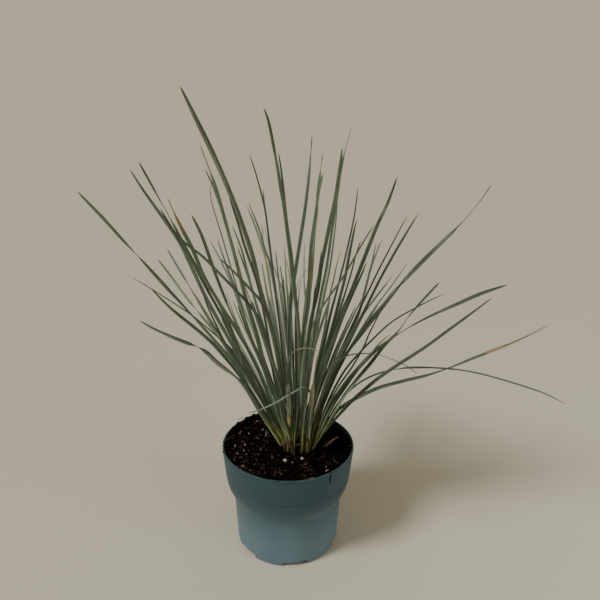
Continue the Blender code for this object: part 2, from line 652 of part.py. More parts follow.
def sheath_object(name, line):
    """The short sheath that a shoot's leaves rise from, along the first of them and cut flat at the soil."""
    foot = Vector((line[0].x, line[0].y, SOIL_LEVEL + TOUCH_GAP))
    rings = []
    for centre, radius in ((foot, SHEATH_BASE), (point_at(line, SHEATH_LENGTH), SHEATH_TOP)):
        angles = [2.0 * math.pi * side / SHEATH_SIDES for side in range(SHEATH_SIDES)]
        rings.append([centre + Vector((math.cos(a), math.sin(a), 0.0)) * radius for a in angles])
    return loft(name, rings)


def point_at(line, length):
    """Point of a line at a length from its root."""
    gone = 0.0
    for a, b in zip(line, line[1:]):
        step = (b - a).length
        if gone + step >= length:
            return a.lerp(b, (length - gone) / step)
        gone += step
    return line[-1].copy()


def fuse(base, others, collection):
    """Join others to base as one body."""
    collection.objects.link(base)
    for other in others:
        collection.objects.link(other)
        union = base.modifiers.new("join", "BOOLEAN")
        union.operation = "UNION"
        union.solver = "EXACT"
        union.object = other
    bpy.context.view_layer.update()
    graph = bpy.context.evaluated_depsgraph_get()
    joined = bpy.data.meshes.new_from_object(base.evaluated_get(graph))
    base.modifiers.clear()
    base.data = joined
    for other in others:
        bpy.data.objects.remove(other)


def material(name, colour, roughness):
    """A plain Principled material."""
    finish = bpy.data.materials.new(name)
    finish.use_nodes = True
    shader = finish.node_tree.nodes["Principled BSDF"]
    shader.inputs["Base Color"].default_value = (*colour, 1.0)
    shader.inputs["Roughness"].default_value = roughness
    shader.inputs["Metallic"].default_value = 0.0
    finish.diffuse_color = (*colour, 1.0)
    return finish


def inner_radius(z):
    """Radius of the pot's inner wall at a height."""
    low = OUTER_RADII[-2]
    for (r1, z1), (r0, z0) in zip(OUTER_RADII, OUTER_RADII[1:]):
        if z0 <= z <= z1 and z0 > 0.0:
            return r0 + (r1 - r0) * (z - z0) / (z1 - z0) - WALL
    return low[0] - WALL


def pot_object(collection, cutters):
    """The turned pot with drain cut-outs at its foot."""
    inner = [(inner_radius(z), z) for _, z in OUTER_RADII[1:-2]]
    rim = [(OUTER_RADII[0][0] - LIP, OUTER_RADII[0][1] - LIP_ROUND)]
    floor = [(OUTER_RADII[-2][0] - 2 * WALL, FLOOR), (0.0, FLOOR)]
    profile = list(reversed(rim + inner + floor)) + list(OUTER_RADII) + [(0.0, 0.0)]
    mesh = bpy.data.meshes.new("pot")
    points = [(r, 0.0, z) for r, z in profile]
    edges = [(i, i + 1) for i in range(len(points) - 1)]
    mesh.from_pydata(points, edges, [])
    pot = bpy.data.objects.new("pot", mesh)
    collection.objects.link(pot)
    turn = pot.modifiers.new("turn", "SCREW")
    turn.axis = "Z"
    turn.steps = POT_STEPS
    turn.render_steps = POT_STEPS
    turn.use_merge_vertices = True
    turn.merge_threshold = 0.0001
    turn.use_smooth_shade = True
    for number in range(DRAINS):
        angle = FIRST_DRAIN + 2.0 * math.pi * number / DRAINS
        shape = bmesh.new()
        bmesh.ops.create_cube(shape, size=1.0)
        box = bpy.data.meshes.new(f"drain_{number + 1}")
        bmesh.ops.scale(shape, vec=(DRAIN_DEPTH * 2, DRAIN_WIDTH, DRAIN_HEIGHT * 2), verts=shape.verts)
        shape.to_mesh(box)
        shape.free()
        cutter = bpy.data.objects.new(f"drain_{number + 1}", box)
        cutter.location = (DRAIN_CENTRE * math.cos(angle), DRAIN_CENTRE * math.sin(angle), 0.0)
        cutter.rotation_euler = (0.0, 0.0, angle)
        cutter.hide_render = True
        cutter.display_type = "WIRE"
        cutters.objects.link(cutter)
        cut = pot.modifiers.new(f"drain_{number + 1}", "BOOLEAN")
        cut.operation = "DIFFERENCE"
        cut.solver = "EXACT"
        cut.object = cutter
    return pot


def soil_height(x, y):
    """Height of the uneven soil surface, level where the crown stands."""
    radius = math.hypot(x, y)
    place = Vector((x, y, 0.0))
    rough = noise.noise(place * LUMPS_PER_M) + 0.6 * noise.noise(place * CLODS_PER_M)
    toward = max(0.0, Vector((x, y)).dot(HEAP_DIRECTION.normalized()) / inner_radius(SOIL_LEVEL))
    height = SOIL_ROUGHNESS * rough + SOIL_HEAP * toward * toward
    from_crown = (Vector((x, y)) - CROWN).length
    fade = min(1.0, max(0.0, (from_crown - CROWN_FLAT) / CROWN_FADE))
    edge = min(1.0, (inner_radius(SOIL_LEVEL) - radius) / EDGE_FADE + EDGE_SHARE)
    return SOIL_LEVEL + height * fade * edge


def soil_object(collection):
    """The plug of soil: a turned body with an uneven top, clear of the pot's wall."""
    top = inner_radius(SOIL_LEVEL) - TOUCH_GAP
    radii = [top * i / SOIL_RINGS for i in range(SOIL_RINGS + 1)]
    foot = OUTER_RADII[-2][0] - DRAIN_DEPTH - WALL
    profile = [(r, SOIL_LEVEL) for r in radii]
    profile += [(inner_radius(z) - TOUCH_GAP, z) for z in SOIL_WALL_HEIGHTS]
    profile += [(foot, FLOOR + TOUCH_GAP), (0.0, FLOOR + TOUCH_GAP)]
    shape = bmesh.new()
    line = [shape.verts.new((r, 0.0, z)) for r, z in profile]
    edges = [shape.edges.new((a, b)) for a, b in zip(line, line[1:])]
    bmesh.ops.spin(shape, geom=line + edges, cent=(0, 0, 0), axis=(0, 0, 1), angle=2.0 * math.pi,
                   steps=POT_STEPS, use_merge=True)
    bmesh.ops.remove_doubles(shape, verts=shape.verts, dist=0.00005)
    for vert in shape.verts:
        if vert.co.z > SOIL_LEVEL - 0.001:
            vert.co.z = soil_height(vert.co.x, vert.co.y)
    bmesh.ops.recalc_face_normals(shape, faces=shape.faces)
    mesh = bpy.data.meshes.new("soil")
    shape.to_mesh(mesh)
    shape.free()
    soil = bpy.data.objects.new("soil", mesh)
    collection.objects.link(soil)
    return soil


def main():
    for item in list(bpy.data.objects):
        bpy.data.objects.remove(item)
    plant = bpy.data.collections.new("potted_blue_oat_grass")
    cutters = bpy.data.collections.new("cutters")
    bpy.context.scene.collection.children.link(plant)
    bpy.context.scene.collection.children.link(cutters)

    pot = pot_object(plant, cutters)
    pot.data.materials.append(material("pot_plastic", (0.075, 0.10, 0.105), 0.38))
    soil = soil_object(plant)
    soil.data.materials.append(material("soil", (0.022, 0.015, 0.011), 0.95))

    places = crown_places()
    lines = []
    widths = []
    owners = []
    for number, leaves in enumerate(SHOOTS):
        for k, blade in enumerate(leaves):
            lines.append(centre_line(blade, places[number], LEAF_START + LEAF_STEP * k))
            widths.append(blade.width)
            owners.append(number)
    part_leaves(lines, widths, owners)

    first = 0
    for number, leaves in enumerate(SHOOTS):
        name = f"shoot_{number + 1:02d}"
        own = lines[first:first + len(leaves)]
        first += len(leaves)
        shoot = sheath_object(name, own[0])
        blades = [blade_object(f"{name}_leaf_{k + 1}", blade, line)
                  for k, (blade, line) in enumerate(zip(leaves, own))]
        fuse(shoot, blades, plant)
        green = 0.9 + 0.2 * random.Random(number).random()
        colour = (0.085 * green, 0.125 * green, 0.088 * green)
        shoot.data.materials.clear()
        shoot.data.materials.append(material(f"{name}_leaf", colour, 0.55))


main()
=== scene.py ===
"""Potted blue oat grass: the looks of the nursery pot, the peaty soil and the tuft of blue-green leaves.

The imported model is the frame. Each leaf follows the same traced route as its solid, smoothed and with
many more sections, and the pot and the soil are finer turned forms of theirs. Everything is in metres,
with the pot's foot on the origin and its axis along +Z.
"""

import logging
import random
from bisect import bisect_left
from collections.abc import Callable, Sequence
from dataclasses import dataclass, field
from enum import Enum
from itertools import accumulate
from math import atan2, copysign, cos, dist, exp, hypot, pi, radians, sin, sqrt

import bmesh
import bpy
import numpy as np
from mathutils import Matrix, Vector, noise


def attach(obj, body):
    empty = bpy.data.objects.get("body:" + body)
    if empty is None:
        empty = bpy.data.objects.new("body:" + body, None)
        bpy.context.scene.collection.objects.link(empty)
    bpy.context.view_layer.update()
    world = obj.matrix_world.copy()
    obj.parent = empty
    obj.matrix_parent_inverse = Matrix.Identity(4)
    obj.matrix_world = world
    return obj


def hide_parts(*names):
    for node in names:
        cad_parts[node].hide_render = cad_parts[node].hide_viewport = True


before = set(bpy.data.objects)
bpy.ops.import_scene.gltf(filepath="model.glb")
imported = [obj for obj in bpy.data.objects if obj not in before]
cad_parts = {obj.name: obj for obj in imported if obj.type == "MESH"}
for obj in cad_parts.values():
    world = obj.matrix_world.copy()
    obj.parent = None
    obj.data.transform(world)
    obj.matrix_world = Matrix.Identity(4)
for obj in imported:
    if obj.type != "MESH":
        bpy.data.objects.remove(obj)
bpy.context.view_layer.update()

FOLD = (-1.0, -0.66, -0.30, 0.0, 0.30, 0.66, 1.0)
VALUES = ("across", "along", "bloom")
LOG = logging.getLogger("blue_oat_grass")
BODY = "root"

SOIL_LEVEL = 0.106
CROWN = (0.01, 0.002)

Pair = tuple[float, float]
Triple = tuple[float, float, float]
Pixel = Pair
Colour = Triple
Line = Sequence[Vector]
Socket = bpy.types.NodeSocket
Finish = bpy.types.Material
Piece = bpy.types.Object


class MarkColour(Enum):
    """Colours that leaves turn where they age, dry or are scorched, the pale side of a fold, and painted
    light on leaves shaded within the tuft.
    """

    ORANGE = (0.36, 0.19, 0.075)
    APRICOT = (0.62, 0.42, 0.2)
    YELLOW = (0.2, 0.165, 0.04)
    OLIVE = (0.135, 0.112, 0.036)
    BROWN = (0.095, 0.055, 0.03)
    RED = (0.15, 0.062, 0.038)
    RUST = (0.19, 0.12, 0.085)
    STRAW = (0.235, 0.185, 0.1)
    GREY = (0.085, 0.07, 0.055)
    DEAD = (0.26, 0.205, 0.145)
    PALE = (0.15, 0.185, 0.135)
    PAINTED_LIGHT = (0.29, 0.375, 0.285)
    ASH = (0.19, 0.175, 0.13)


@dataclass(frozen=True)
class Mark:
    """A stretch of a leaf that takes a stain or painted light, between two pixels of the reference view."""

    start: Pixel  # One end of the stretch
    end: Pixel  # Its other end
    mark_colour: MarkColour  # The colour there
    reach: float = 5.0  # How far the colour fades out beyond the stretch, in pixels
    strength: float = 0.85  # Share of the mark's colour in the leaf's colour
    # Where across the leaf it is strongest, from -1 at the left edge to 1 at the right one
    side: float = 0.0

    def share_across(self, x: float) -> float:
        """Share of the mark's colour at a place across the leaf, from -1 to 1."""
        return 1.0 - (0.55 if self.side == 0.0 else 0.85) * min(1.0, abs(x - self.side)) ** 1.2

    def share_at(self, u: float, v: float) -> float:
        """How far a pixel takes this stain.

        Args:
            u: Column of the pixel.
            v: Row of the pixel.

        Returns:
            The mark's share of the colour, from 0 to 1.
        """
        du = self.end[0] - self.start[0]
        dv = self.end[1] - self.start[1]
        along = ((u - self.start[0]) * du + (v - self.start[1]) * dv) / max(du * du + dv * dv, 1e-9)
        along = min(1.0, max(0.0, along))
        away = hypot(u - self.start[0] - du * along, v - self.start[1] - dv * along)
        return self.strength * (1.0 - smooth(away / self.reach))


@dataclass(frozen=True)
class Leaf:
    """One leaf as it was traced."""

    width: float  # Full width in metres
    depth: float  # How far back its tip is, in metres
    tone: float  # How much lighter it is than the rest, partly its own tone and partly painted light and shade for how it is lit
    # Turns away from the viewer in degrees, evenly spaced from root to tip, where HABITS has no twists
    # for the leaf
    turns: tuple[float, ...]
    path: tuple[Pixel, ...]  # Traced pixels, tip first


def leaf(millimetres: float, centimetres: float, tone: float, turns: tuple[float, ...],
         *path: float) -> Leaf:
    """A leaf from its row in the table, where columns and rows of its traced pixels take turns."""
    return Leaf(millimetres * 0.001, centimetres * 0.01, tone, turns, tuple(zip(path[::2], path[1::2])))


SHOOTS: tuple[tuple[Leaf, ...], ...] = tuple(tuple(leaf(*row) for row in rows) for rows in (
    # Low and wide on the left
    ((4.4, -3, 0.64, (), 140, 320.5, 153, 328, 173.5, 337.5, 203, 349.5, 217.5, 362.5, 242.5, 383.5,
      264, 418),
     (1.5, -1, 1, (30, 60), 133, 277.5, 151.5, 288.5, 189, 312.7, 209, 329, 234.5, 351.7, 251, 374, 268,
      412)),
    ((4.2, -2, 1.04, (), 77.3, 191, 103, 217.5, 125, 242, 146.5, 265, 168, 288.7, 196.5, 320, 215.5,
      341, 236, 366, 254, 396, 271, 424),
     (4.2, 1, 0.95, (10, 40), 151, 288, 172, 308.8, 204, 335, 222, 353, 243, 379, 265, 413)),
    ((2.8, 5, 1.15, (), 158.3, 259, 173.6, 279, 193.5, 305.8, 215.7, 331.8, 236, 357, 256, 388, 274, 425),
     (3.2, 7, 1, (), 167.4, 248.4, 185.8, 279.7, 202.7, 307.3, 221.8, 339.4, 238, 365, 260, 397, 276,
      428)),
    ((3.8, -5, 0.84, (30, 20, 40), 130.3, 169, 143, 189, 163, 217.3, 179.7, 241.8, 192.7, 268.3, 208,
      300.4, 227, 334.8, 245, 366, 266, 404, 280, 432),
     (1.8, -3, 1, (40, 20), 203, 292, 209, 308.4, 218, 327.5, 228, 347, 247, 375, 268, 410)),
    ((4.8, -8, 1.15, (), 139, 161.5, 156.7, 193.6, 173.6, 224, 190, 255, 204, 279, 219.5, 302.7, 235,
      338, 248, 371, 266, 404, 281, 434),
     (2.6, -6, 1.2, (60, 20), 160.6, 208.2, 172, 227.3, 190, 256, 207, 288, 226, 322, 243, 357, 263,
      395, 280, 430)),
    ((4.6, -10, 1.22, (), 167.8, 197.4, 178.2, 220.4, 193.5, 249.9, 205, 277.4, 221.8, 305.8, 239.7,
      333.9, 256, 363, 273, 403, 285, 436),
     (3, -8, 0.92, (), 192, 214.3, 202.7, 236.5, 214, 268.3, 223.3, 292.8, 233.4, 317.3, 249, 350, 269,
      392, 284, 430)),
    ((2.6, -14, 1.08, (40, 40), 176, 231, 186.6, 243.8, 202.7, 256, 221.8, 275.2, 239.4, 293.5, 253.8,
      309.6, 262, 325, 272, 353, 281, 392, 288, 430),
     (2, -12, 1, (40, 20), 220.4, 258.3, 232.5, 269.8, 241, 278.4, 253.8, 292.4, 261, 301, 271, 322,
      280, 355, 287, 400)),
    ((2.4, 9, 0.86, (40, 40), 210.3, 240, 222.5, 262.9, 233.4, 286.7, 239.7, 304.5, 248.7, 330, 262,
      362, 277, 402, 287, 438),
     (2.2, 11, 0.7, (20, 30), 218, 239.5, 227, 265.2, 237, 292, 245.5, 322.4, 258, 354, 274, 394, 286,
      434)),
    # Tall leaves left of the middle
    ((1.4, 1.5, 1, (40, 40), 210.7, 183, 212.2, 202, 221.9, 234.2, 234.6, 278.2, 246, 318, 262, 365,
      280, 420),
     (5, 0, 0.92, (), 200.6, 145, 215.2, 184.8, 226.4, 223.4, 238.5, 268.6, 248, 304.5, 257, 334, 268.3,
      378.7, 280.3, 408, 288, 438),
     (2.8, 2, 0.9, (40, 40), 205.5, 168.6, 216, 192.5, 228, 228, 241, 275, 254, 325, 268, 370, 284, 420)),
    ((4.5, -11, 0.8, (10, 20, 10), 180.3, 85.4, 193, 111.4, 217.4, 162, 237.2, 209.3, 253, 255.3, 260.2,
      286.7, 268.4, 315.4, 275.5, 344, 281, 375, 286, 411.7, 290, 440),
     (2, -9, 1, (50, 20), 229.4, 195.5, 239, 224.6, 244, 242, 249, 257, 256, 277, 262, 300, 269.5, 340,
      278, 380, 287, 425)),
    ((3.8, 4, 1.35, (20, 50), 232.4, 224.6, 242.3, 250.2, 251.9, 286.7, 260.2, 315.4, 269, 344, 275.4,
      378.7, 283, 410, 289, 440),
     (2.2, 6, 0.86, (50, 20), 237.8, 246.3, 248, 275, 257.6, 305.8, 266.5, 335, 277.5, 390, 286, 425)),
    ((2, -5, 0.9, (40, 50), 250, 153.5, 258.2, 180, 265.9, 211.9, 270, 245, 275, 284, 279.4, 318.8, 284,
      365, 290, 430),
     (2.6, -3, 0.8, (20, 50), 263.3, 189, 267.2, 220.8, 272, 258, 276.9, 299.6, 283, 345, 290, 410)),
    ((2.8, 10, 1, (), 247.4, 205.5, 256.3, 227.8, 264.8, 255, 269.2, 271, 271.1, 290, 276.1, 319, 280,
      350, 287, 400),
     (2.4, 8, 1.15, (40, 20), 248.7, 201.7, 258.9, 227.2, 265.3, 249, 270, 262, 275.6, 290.7, 281, 330,
      287, 380, 291, 420)),
    ((1.6, 13, 0.88, (40, 20), 262.4, 224, 265, 250, 271, 290, 278, 330, 286, 390),
     (2.2, 15, 0.9, (20, 50), 265.3, 227.2, 270, 250, 277, 290, 283.3, 330, 288, 380, 291, 420)),
    # The middle
    ((4.2, -9, 0.9, (), 264.1, 107.2, 270.2, 125.7, 277.9, 168.4, 284.4, 207.4, 291.6, 264.6, 294, 285,
      296, 300, 297.9, 318.8, 299.5, 345, 300, 390, 299, 430),
     (2.4, -7, 0.94, (50, 30), 279.1, 152, 283, 179.3, 287.5, 222, 293, 262, 296, 300, 298.5, 350,
      298.5, 400)),
    ((4.4, 1, 0.9, (), 312.6, 134.6, 309.7, 173, 306.4, 203.3, 300.6, 241.5, 295.4, 274, 292.2, 291,
      290.9, 309.2, 289.5, 335, 290, 380, 292, 425),
     (2, 2, 0.58, (50, 30), 280.7, 264.6, 283.3, 283.7, 285.8, 303, 288, 340, 290, 390)),
    ((2.2, 17, 0.86, (20, 60), 287, 258.8, 290.3, 280.5, 291.5, 310, 293, 350, 293.5, 400),
     (2.2, 19, 0.62, (50, 30), 273, 263, 278.2, 277.3, 283.3, 290.7, 285.8, 309.2, 289, 345, 292, 400)),
    ((5, -6, 1.22, (), 323.5, 152.5, 319.6, 182.5, 316.6, 214.7, 312.7, 241.5, 310.8, 265, 308.8, 302.8,
      305, 330, 302, 370, 300, 420),
     (2.8, -4.5, 1.5, (50, 20), 323.8, 172.3, 318.8, 195.6, 315.6, 222.4, 313.5, 250, 311, 285, 306,
      325, 302.5, 370)),
    ((2.4, 10, 1.4, (20, 40), 305.1, 243.4, 304.6, 265, 304.9, 283.7, 306.2, 302.8, 304.3, 325, 302.4,
      338, 300, 375, 298, 420),
     (1.3, 8, 1, (20, 50), 312, 264.6, 304.3, 273.5, 298.6, 283.7, 297.3, 290, 296, 310, 296, 350, 297,
      400)),
    ((4.8, -5, 1.3, (10, 30, 10), 342.9, 146.8, 339, 178, 335.7, 200, 331.2, 219.8, 326.1, 244.7, 321.5,
      267.8, 318.3, 290, 313.9, 309.2, 309.4, 328.3, 306, 355, 303, 400),
     (4.2, -2, 1.18, (), 352.5, 125.7, 345.5, 150.6, 341, 172, 337, 200, 332.2, 232, 327.4, 265, 322.8,
      287, 318, 315, 313.9, 344, 308, 380, 304, 420)),
    ((2.2, 7, 1, (50, 30), 338.2, 202.6, 336, 225.6, 333, 250, 330.5, 267.8, 325.4, 293.3, 319, 325,
      311, 370, 306, 415),
     (2.8, 5, 1.22, (10, 60), 342.1, 248.5, 336.8, 266.5, 334.3, 279, 331, 292, 328.5, 309, 324, 335,
      316, 375, 308, 420)),
    # Leaning right
    ((3, 3, 0.74, (10, 60), 358.3, 186.5, 356.7, 203.3, 353.2, 224.3, 346.5, 254.3, 342, 272.3, 336.4,
      294.6, 331.3, 313.8, 324.7, 344.3, 315, 385, 309, 425),
     (3.4, 1, 0.7, (40, 20), 357.5, 219, 354.6, 231, 350, 254, 345.3, 278.7, 339.6, 301, 333.8, 323.3,
      326, 350, 317, 385, 310, 420)),
    ((1.7, -9, 0.84, (40, 30), 375, 225, 366.8, 237.2, 357.9, 252.5, 344.7, 275.5, 332.6, 292.7, 322.8,
      307.3, 313.9, 324, 307.5, 340, 302, 370, 299, 420),
     (1.9, -7, 0.72, (20, 50), 361.7, 239.7, 356.6, 254.4, 351.7, 273, 345.3, 294.6, 337, 322, 327, 352,
      314, 390, 304, 425)),
    ((5, -7, 0.84, (), 397.8, 177, 392.3, 192.5, 386.9, 206, 378.3, 223.8, 369.3, 246.7, 360.6, 269,
      351, 293.4, 344.7, 307.4, 333.8, 336, 324, 366, 313, 410),
     (2.6, -5, 0.46, (50, 20), 367.6, 261.5, 360.6, 278, 352.3, 296, 343, 318, 333, 345, 322, 378, 313,
      412)),
    ((2.4, 6, 0.88, (40, 40), 376.7, 242.9, 373.2, 260, 369.2, 277.4, 363.8, 298.5, 356.8, 320, 346,
      345, 332, 378, 317, 420),
     (2.6, 8, 0.68, (20, 40), 381.8, 240.4, 377, 253, 371.1, 269, 365.4, 291, 359.3, 313.8, 350, 338,
      336, 372, 319, 415)),
    ((4.6, -2, 0.64, (20, 20, 60, 60), 419, 213, 407, 232.7, 393.8, 255, 381.7, 276.8, 371.5, 297.2,
      360, 320.8, 349, 342.5, 336, 368, 321, 405),
     (1.7, 1, 0.42, (30, 40), 407.9, 215.5, 400.6, 229, 389.6, 250, 379.7, 269, 370, 289, 359, 312, 346,
      340, 331, 372, 317, 412)),
    ((5.2, 4, 0.68, (), 492, 184.5, 479.6, 202.3, 461.4, 223.5, 441.5, 243, 416.6, 267.8, 397.6, 288.3,
      383.6, 306, 364.4, 329.7, 345, 357, 329, 388, 317, 425),
     (1.7, 4.5, 0.92, (20, 50), 393, 275.5, 381, 290.8, 374, 299.7, 363, 316, 349, 340, 334, 370, 320,
      405)),
    ((1.7, 11, 0.84, (20, 50), 408.4, 262, 400.2, 274.2, 391.2, 287, 382.3, 298.5, 372, 313, 357, 337,
      340, 368, 323, 408),
     (2.2, 12, 0.88, (40, 10), 388, 283, 376, 298, 364, 314, 349, 338, 334, 370, 320, 408)),
    ((4.2, -4, 0.58, (), 440.8, 281.6, 422.5, 301, 409.7, 315.7, 398.9, 331, 384.8, 345.7, 371.4, 363,
      358, 379, 344.7, 396, 331, 418),
     (1.9, -3, 0.64, (30, 50), 384.5, 306, 377.2, 319, 369.5, 334.2, 363.2, 349, 352, 368, 338, 388,
      324, 415)),
    ((1.9, 2, 0.92, (20, 50), 444.8, 293.6, 421.8, 304.8, 393.8, 320.8, 374.6, 338, 360.9, 352, 346,
      369.5, 333, 392, 321, 420),
     (4.2, 0, 0.46, (), 508.6, 284.5, 481.5, 293.6, 457.6, 304, 430, 316.3, 409.7, 327.2, 393.8, 337.4,
      375.6, 351, 360.2, 366.7, 346, 383.5, 332, 404, 322, 425)),
    ((4.6, -5, 0.46, (), 492.7, 297.6, 473.5, 312, 449.6, 329.5, 425.7, 347, 395.3, 366.7, 379, 378,
      364.4, 390, 352.5, 400.4, 337.7, 415.8, 327, 428),
     (2.8, -3, 1, (20, 50), 391, 334, 381, 342.5, 372, 353, 360, 368, 346, 387, 331, 410)),
    ((4.6, 2, 1.85, (), 549, 325, 524.6, 337.5, 494.3, 350.2, 473.5, 358.2, 449.6, 367.8, 425.7, 375.7,
      400, 382, 377.7, 388.4, 353, 400, 334.9, 411.6, 325, 424),
     (1.9, -1, 1, (30, 30), 352, 403, 342, 408, 332.8, 420, 324, 433)),
    ((2.4, -4, 0.82, (), 566, 404, 548, 394.5, 524.6, 386.1, 489.5, 375.7, 465.6, 370.5, 441.6, 368,
      419.3, 367.3, 401.8, 368.3, 379.8, 373, 358, 384, 338, 404, 325, 426),),
    # Short leaves in front
    ((2.2, -7, 1.3, (20, 50), 248.5, 413, 260.6, 410, 276.8, 402.5, 292.2, 393.4, 303.4, 388.2, 309.5,
      390, 312.5, 397, 311, 408, 309, 422, 306.5, 440),),
    ((5, -7, 1.4, (10, 10), 289, 384, 288.7, 394, 289.5, 405, 289.7, 415, 290, 430),
     (2.4, -9, 1.2, (20, 60), 319.8, 352, 315, 349.5, 308, 348, 301, 348.5, 294, 351.5, 290, 358, 287.5,
      372, 287.5, 400, 291, 435)),
    ((2.6, -7, 1, (), 318, 352, 315.5, 372, 313, 392, 310.5, 415, 308, 440),),
    ((2, -8, 1, (), 418.5, 374.2, 406.6, 365.4, 393.8, 359.8, 381.2, 355.4, 365.8, 353.3, 349.6, 355.1,
      336.3, 361.8, 325.1, 372.3, 318, 386, 312, 405, 306, 428),),
    # Inside the tuft, front
    ((3.4, -11, 0.82, (10, 40), 330, 300, 322, 325, 314, 352, 308, 390, 303, 425),
     (3.2, -9, 1, (40, 10), 316, 285, 314, 310, 309, 340, 305, 380, 302, 425)),
    ((3.4, -11, 0.74, (30, 10), 252, 300, 260, 325, 270, 352, 281, 392, 290, 432),
     (3.2, -9, 0.84, (10, 50), 238, 305, 250, 335, 264, 365, 279, 405, 290, 440)),
    ((3.2, -11, 1, (10, 50), 345, 312, 336, 335, 325, 362, 314, 398, 307, 430),
     (3, -9, 0.82, (40, 20), 362, 318, 350, 338, 336, 362, 322, 396, 311, 430)),
    ((3, -10, 1, (30, 30), 222, 318, 234, 340, 249, 365, 268, 400, 284, 436),
     (2.6, -8, 1.2, (10, 50), 214, 326, 228, 346, 246, 372, 267, 408, 282, 436)),
    # Inside the tuft, back
    ((3, 17, 1.4, (10, 60), 330, 262, 324, 290, 317, 325, 309, 370, 304, 420),
     (3.2, 17, 1, (60, 20), 313, 240, 309, 280, 304, 320, 301, 370, 299, 420)),
    ((3, 18, 0.5, (50, 10), 262, 262, 268, 295, 275, 335, 284, 385, 291, 430),
     (2.6, 19, 0.82, (20, 60), 243, 278, 253, 308, 265, 343, 280, 390, 290, 430)),
    ((3.2, 19, 1, (20, 50), 285, 245, 287, 280, 290, 320, 293, 370, 296, 420),
     (2.6, 17, 0.66, (50, 20), 276, 250, 280, 285, 285, 325, 291, 375, 295, 420)),
    ((2.8, 23, 1, (10, 60), 288, 285, 289, 297, 291.5, 328, 294.5, 375, 297, 420),
     (2.6, 24, 0.78, (20, 60), 303, 281, 301.5, 283, 299.5, 294, 298, 325, 298, 375, 298, 420)),
    ((2.8, 20, 1, (20, 60), 352, 275, 343, 300, 331, 335, 318, 380, 309, 425),
     (2.6, 18, 1.2, (60, 10), 343, 268, 336, 295, 326, 332, 315, 378, 307, 425)),
    ((2.8, 14, 1, (60, 20), 235, 285, 246, 312, 259, 345, 276, 390, 289, 430),
     (2.8, 14, 1, (50, 10), 215, 305, 230, 328, 248, 358, 268, 395, 285, 432)),
    ((2.8, 15, 1.45, (10, 50), 379, 305, 364, 327, 347, 354, 331, 386, 317, 420),
     (2.6, 13, 1, (50, 30), 366, 292, 354, 316, 340, 346, 326, 382, 314, 420)),
    ((2.6, 9, 1, (20, 60), 226.7, 292.4, 234, 314, 245, 340, 262, 375, 281, 420),
     (2.4, 7, 0.72, (20, 50), 233, 300, 244, 326, 259, 358, 275, 396, 288, 432)),
    ((2.8, 13, 1, (50, 10), 322, 250, 318, 285, 312, 325, 306, 370, 302, 420),
     (2.6, 12, 1, (60, 10), 318, 275, 314, 305, 308, 345, 303, 385, 300, 425)),
    ((2.6, 9, 1, (20, 50), 346, 290, 337, 315, 327, 345, 316, 385, 308, 425),
     (2.4, 7, 0.54, (60, 10), 357, 305, 345, 330, 332, 360, 319, 395, 309, 428)),
    ((3, 13, 0.78, (20, 60), 296, 270, 296, 300, 296, 340, 297, 380, 298, 425),
     (2.6, 12, 1, (60, 10), 284, 276, 286, 305, 290, 345, 293, 385, 296, 425)),
    ((2.6, 3, 0.48, (20, 60), 282, 290, 285, 318, 288, 350, 292, 390, 295, 430),
     (2.4, 5, 0.66, (50, 20), 270, 296, 275, 322, 281, 355, 288, 392, 294, 430)),
    ((2.6, 4, 1, (50, 10), 307, 296, 304, 322, 302, 355, 300, 392, 299, 430),
     (2.4, 2, 1, (20, 50), 319, 304, 314, 328, 309, 358, 304, 395, 300, 430)),
))
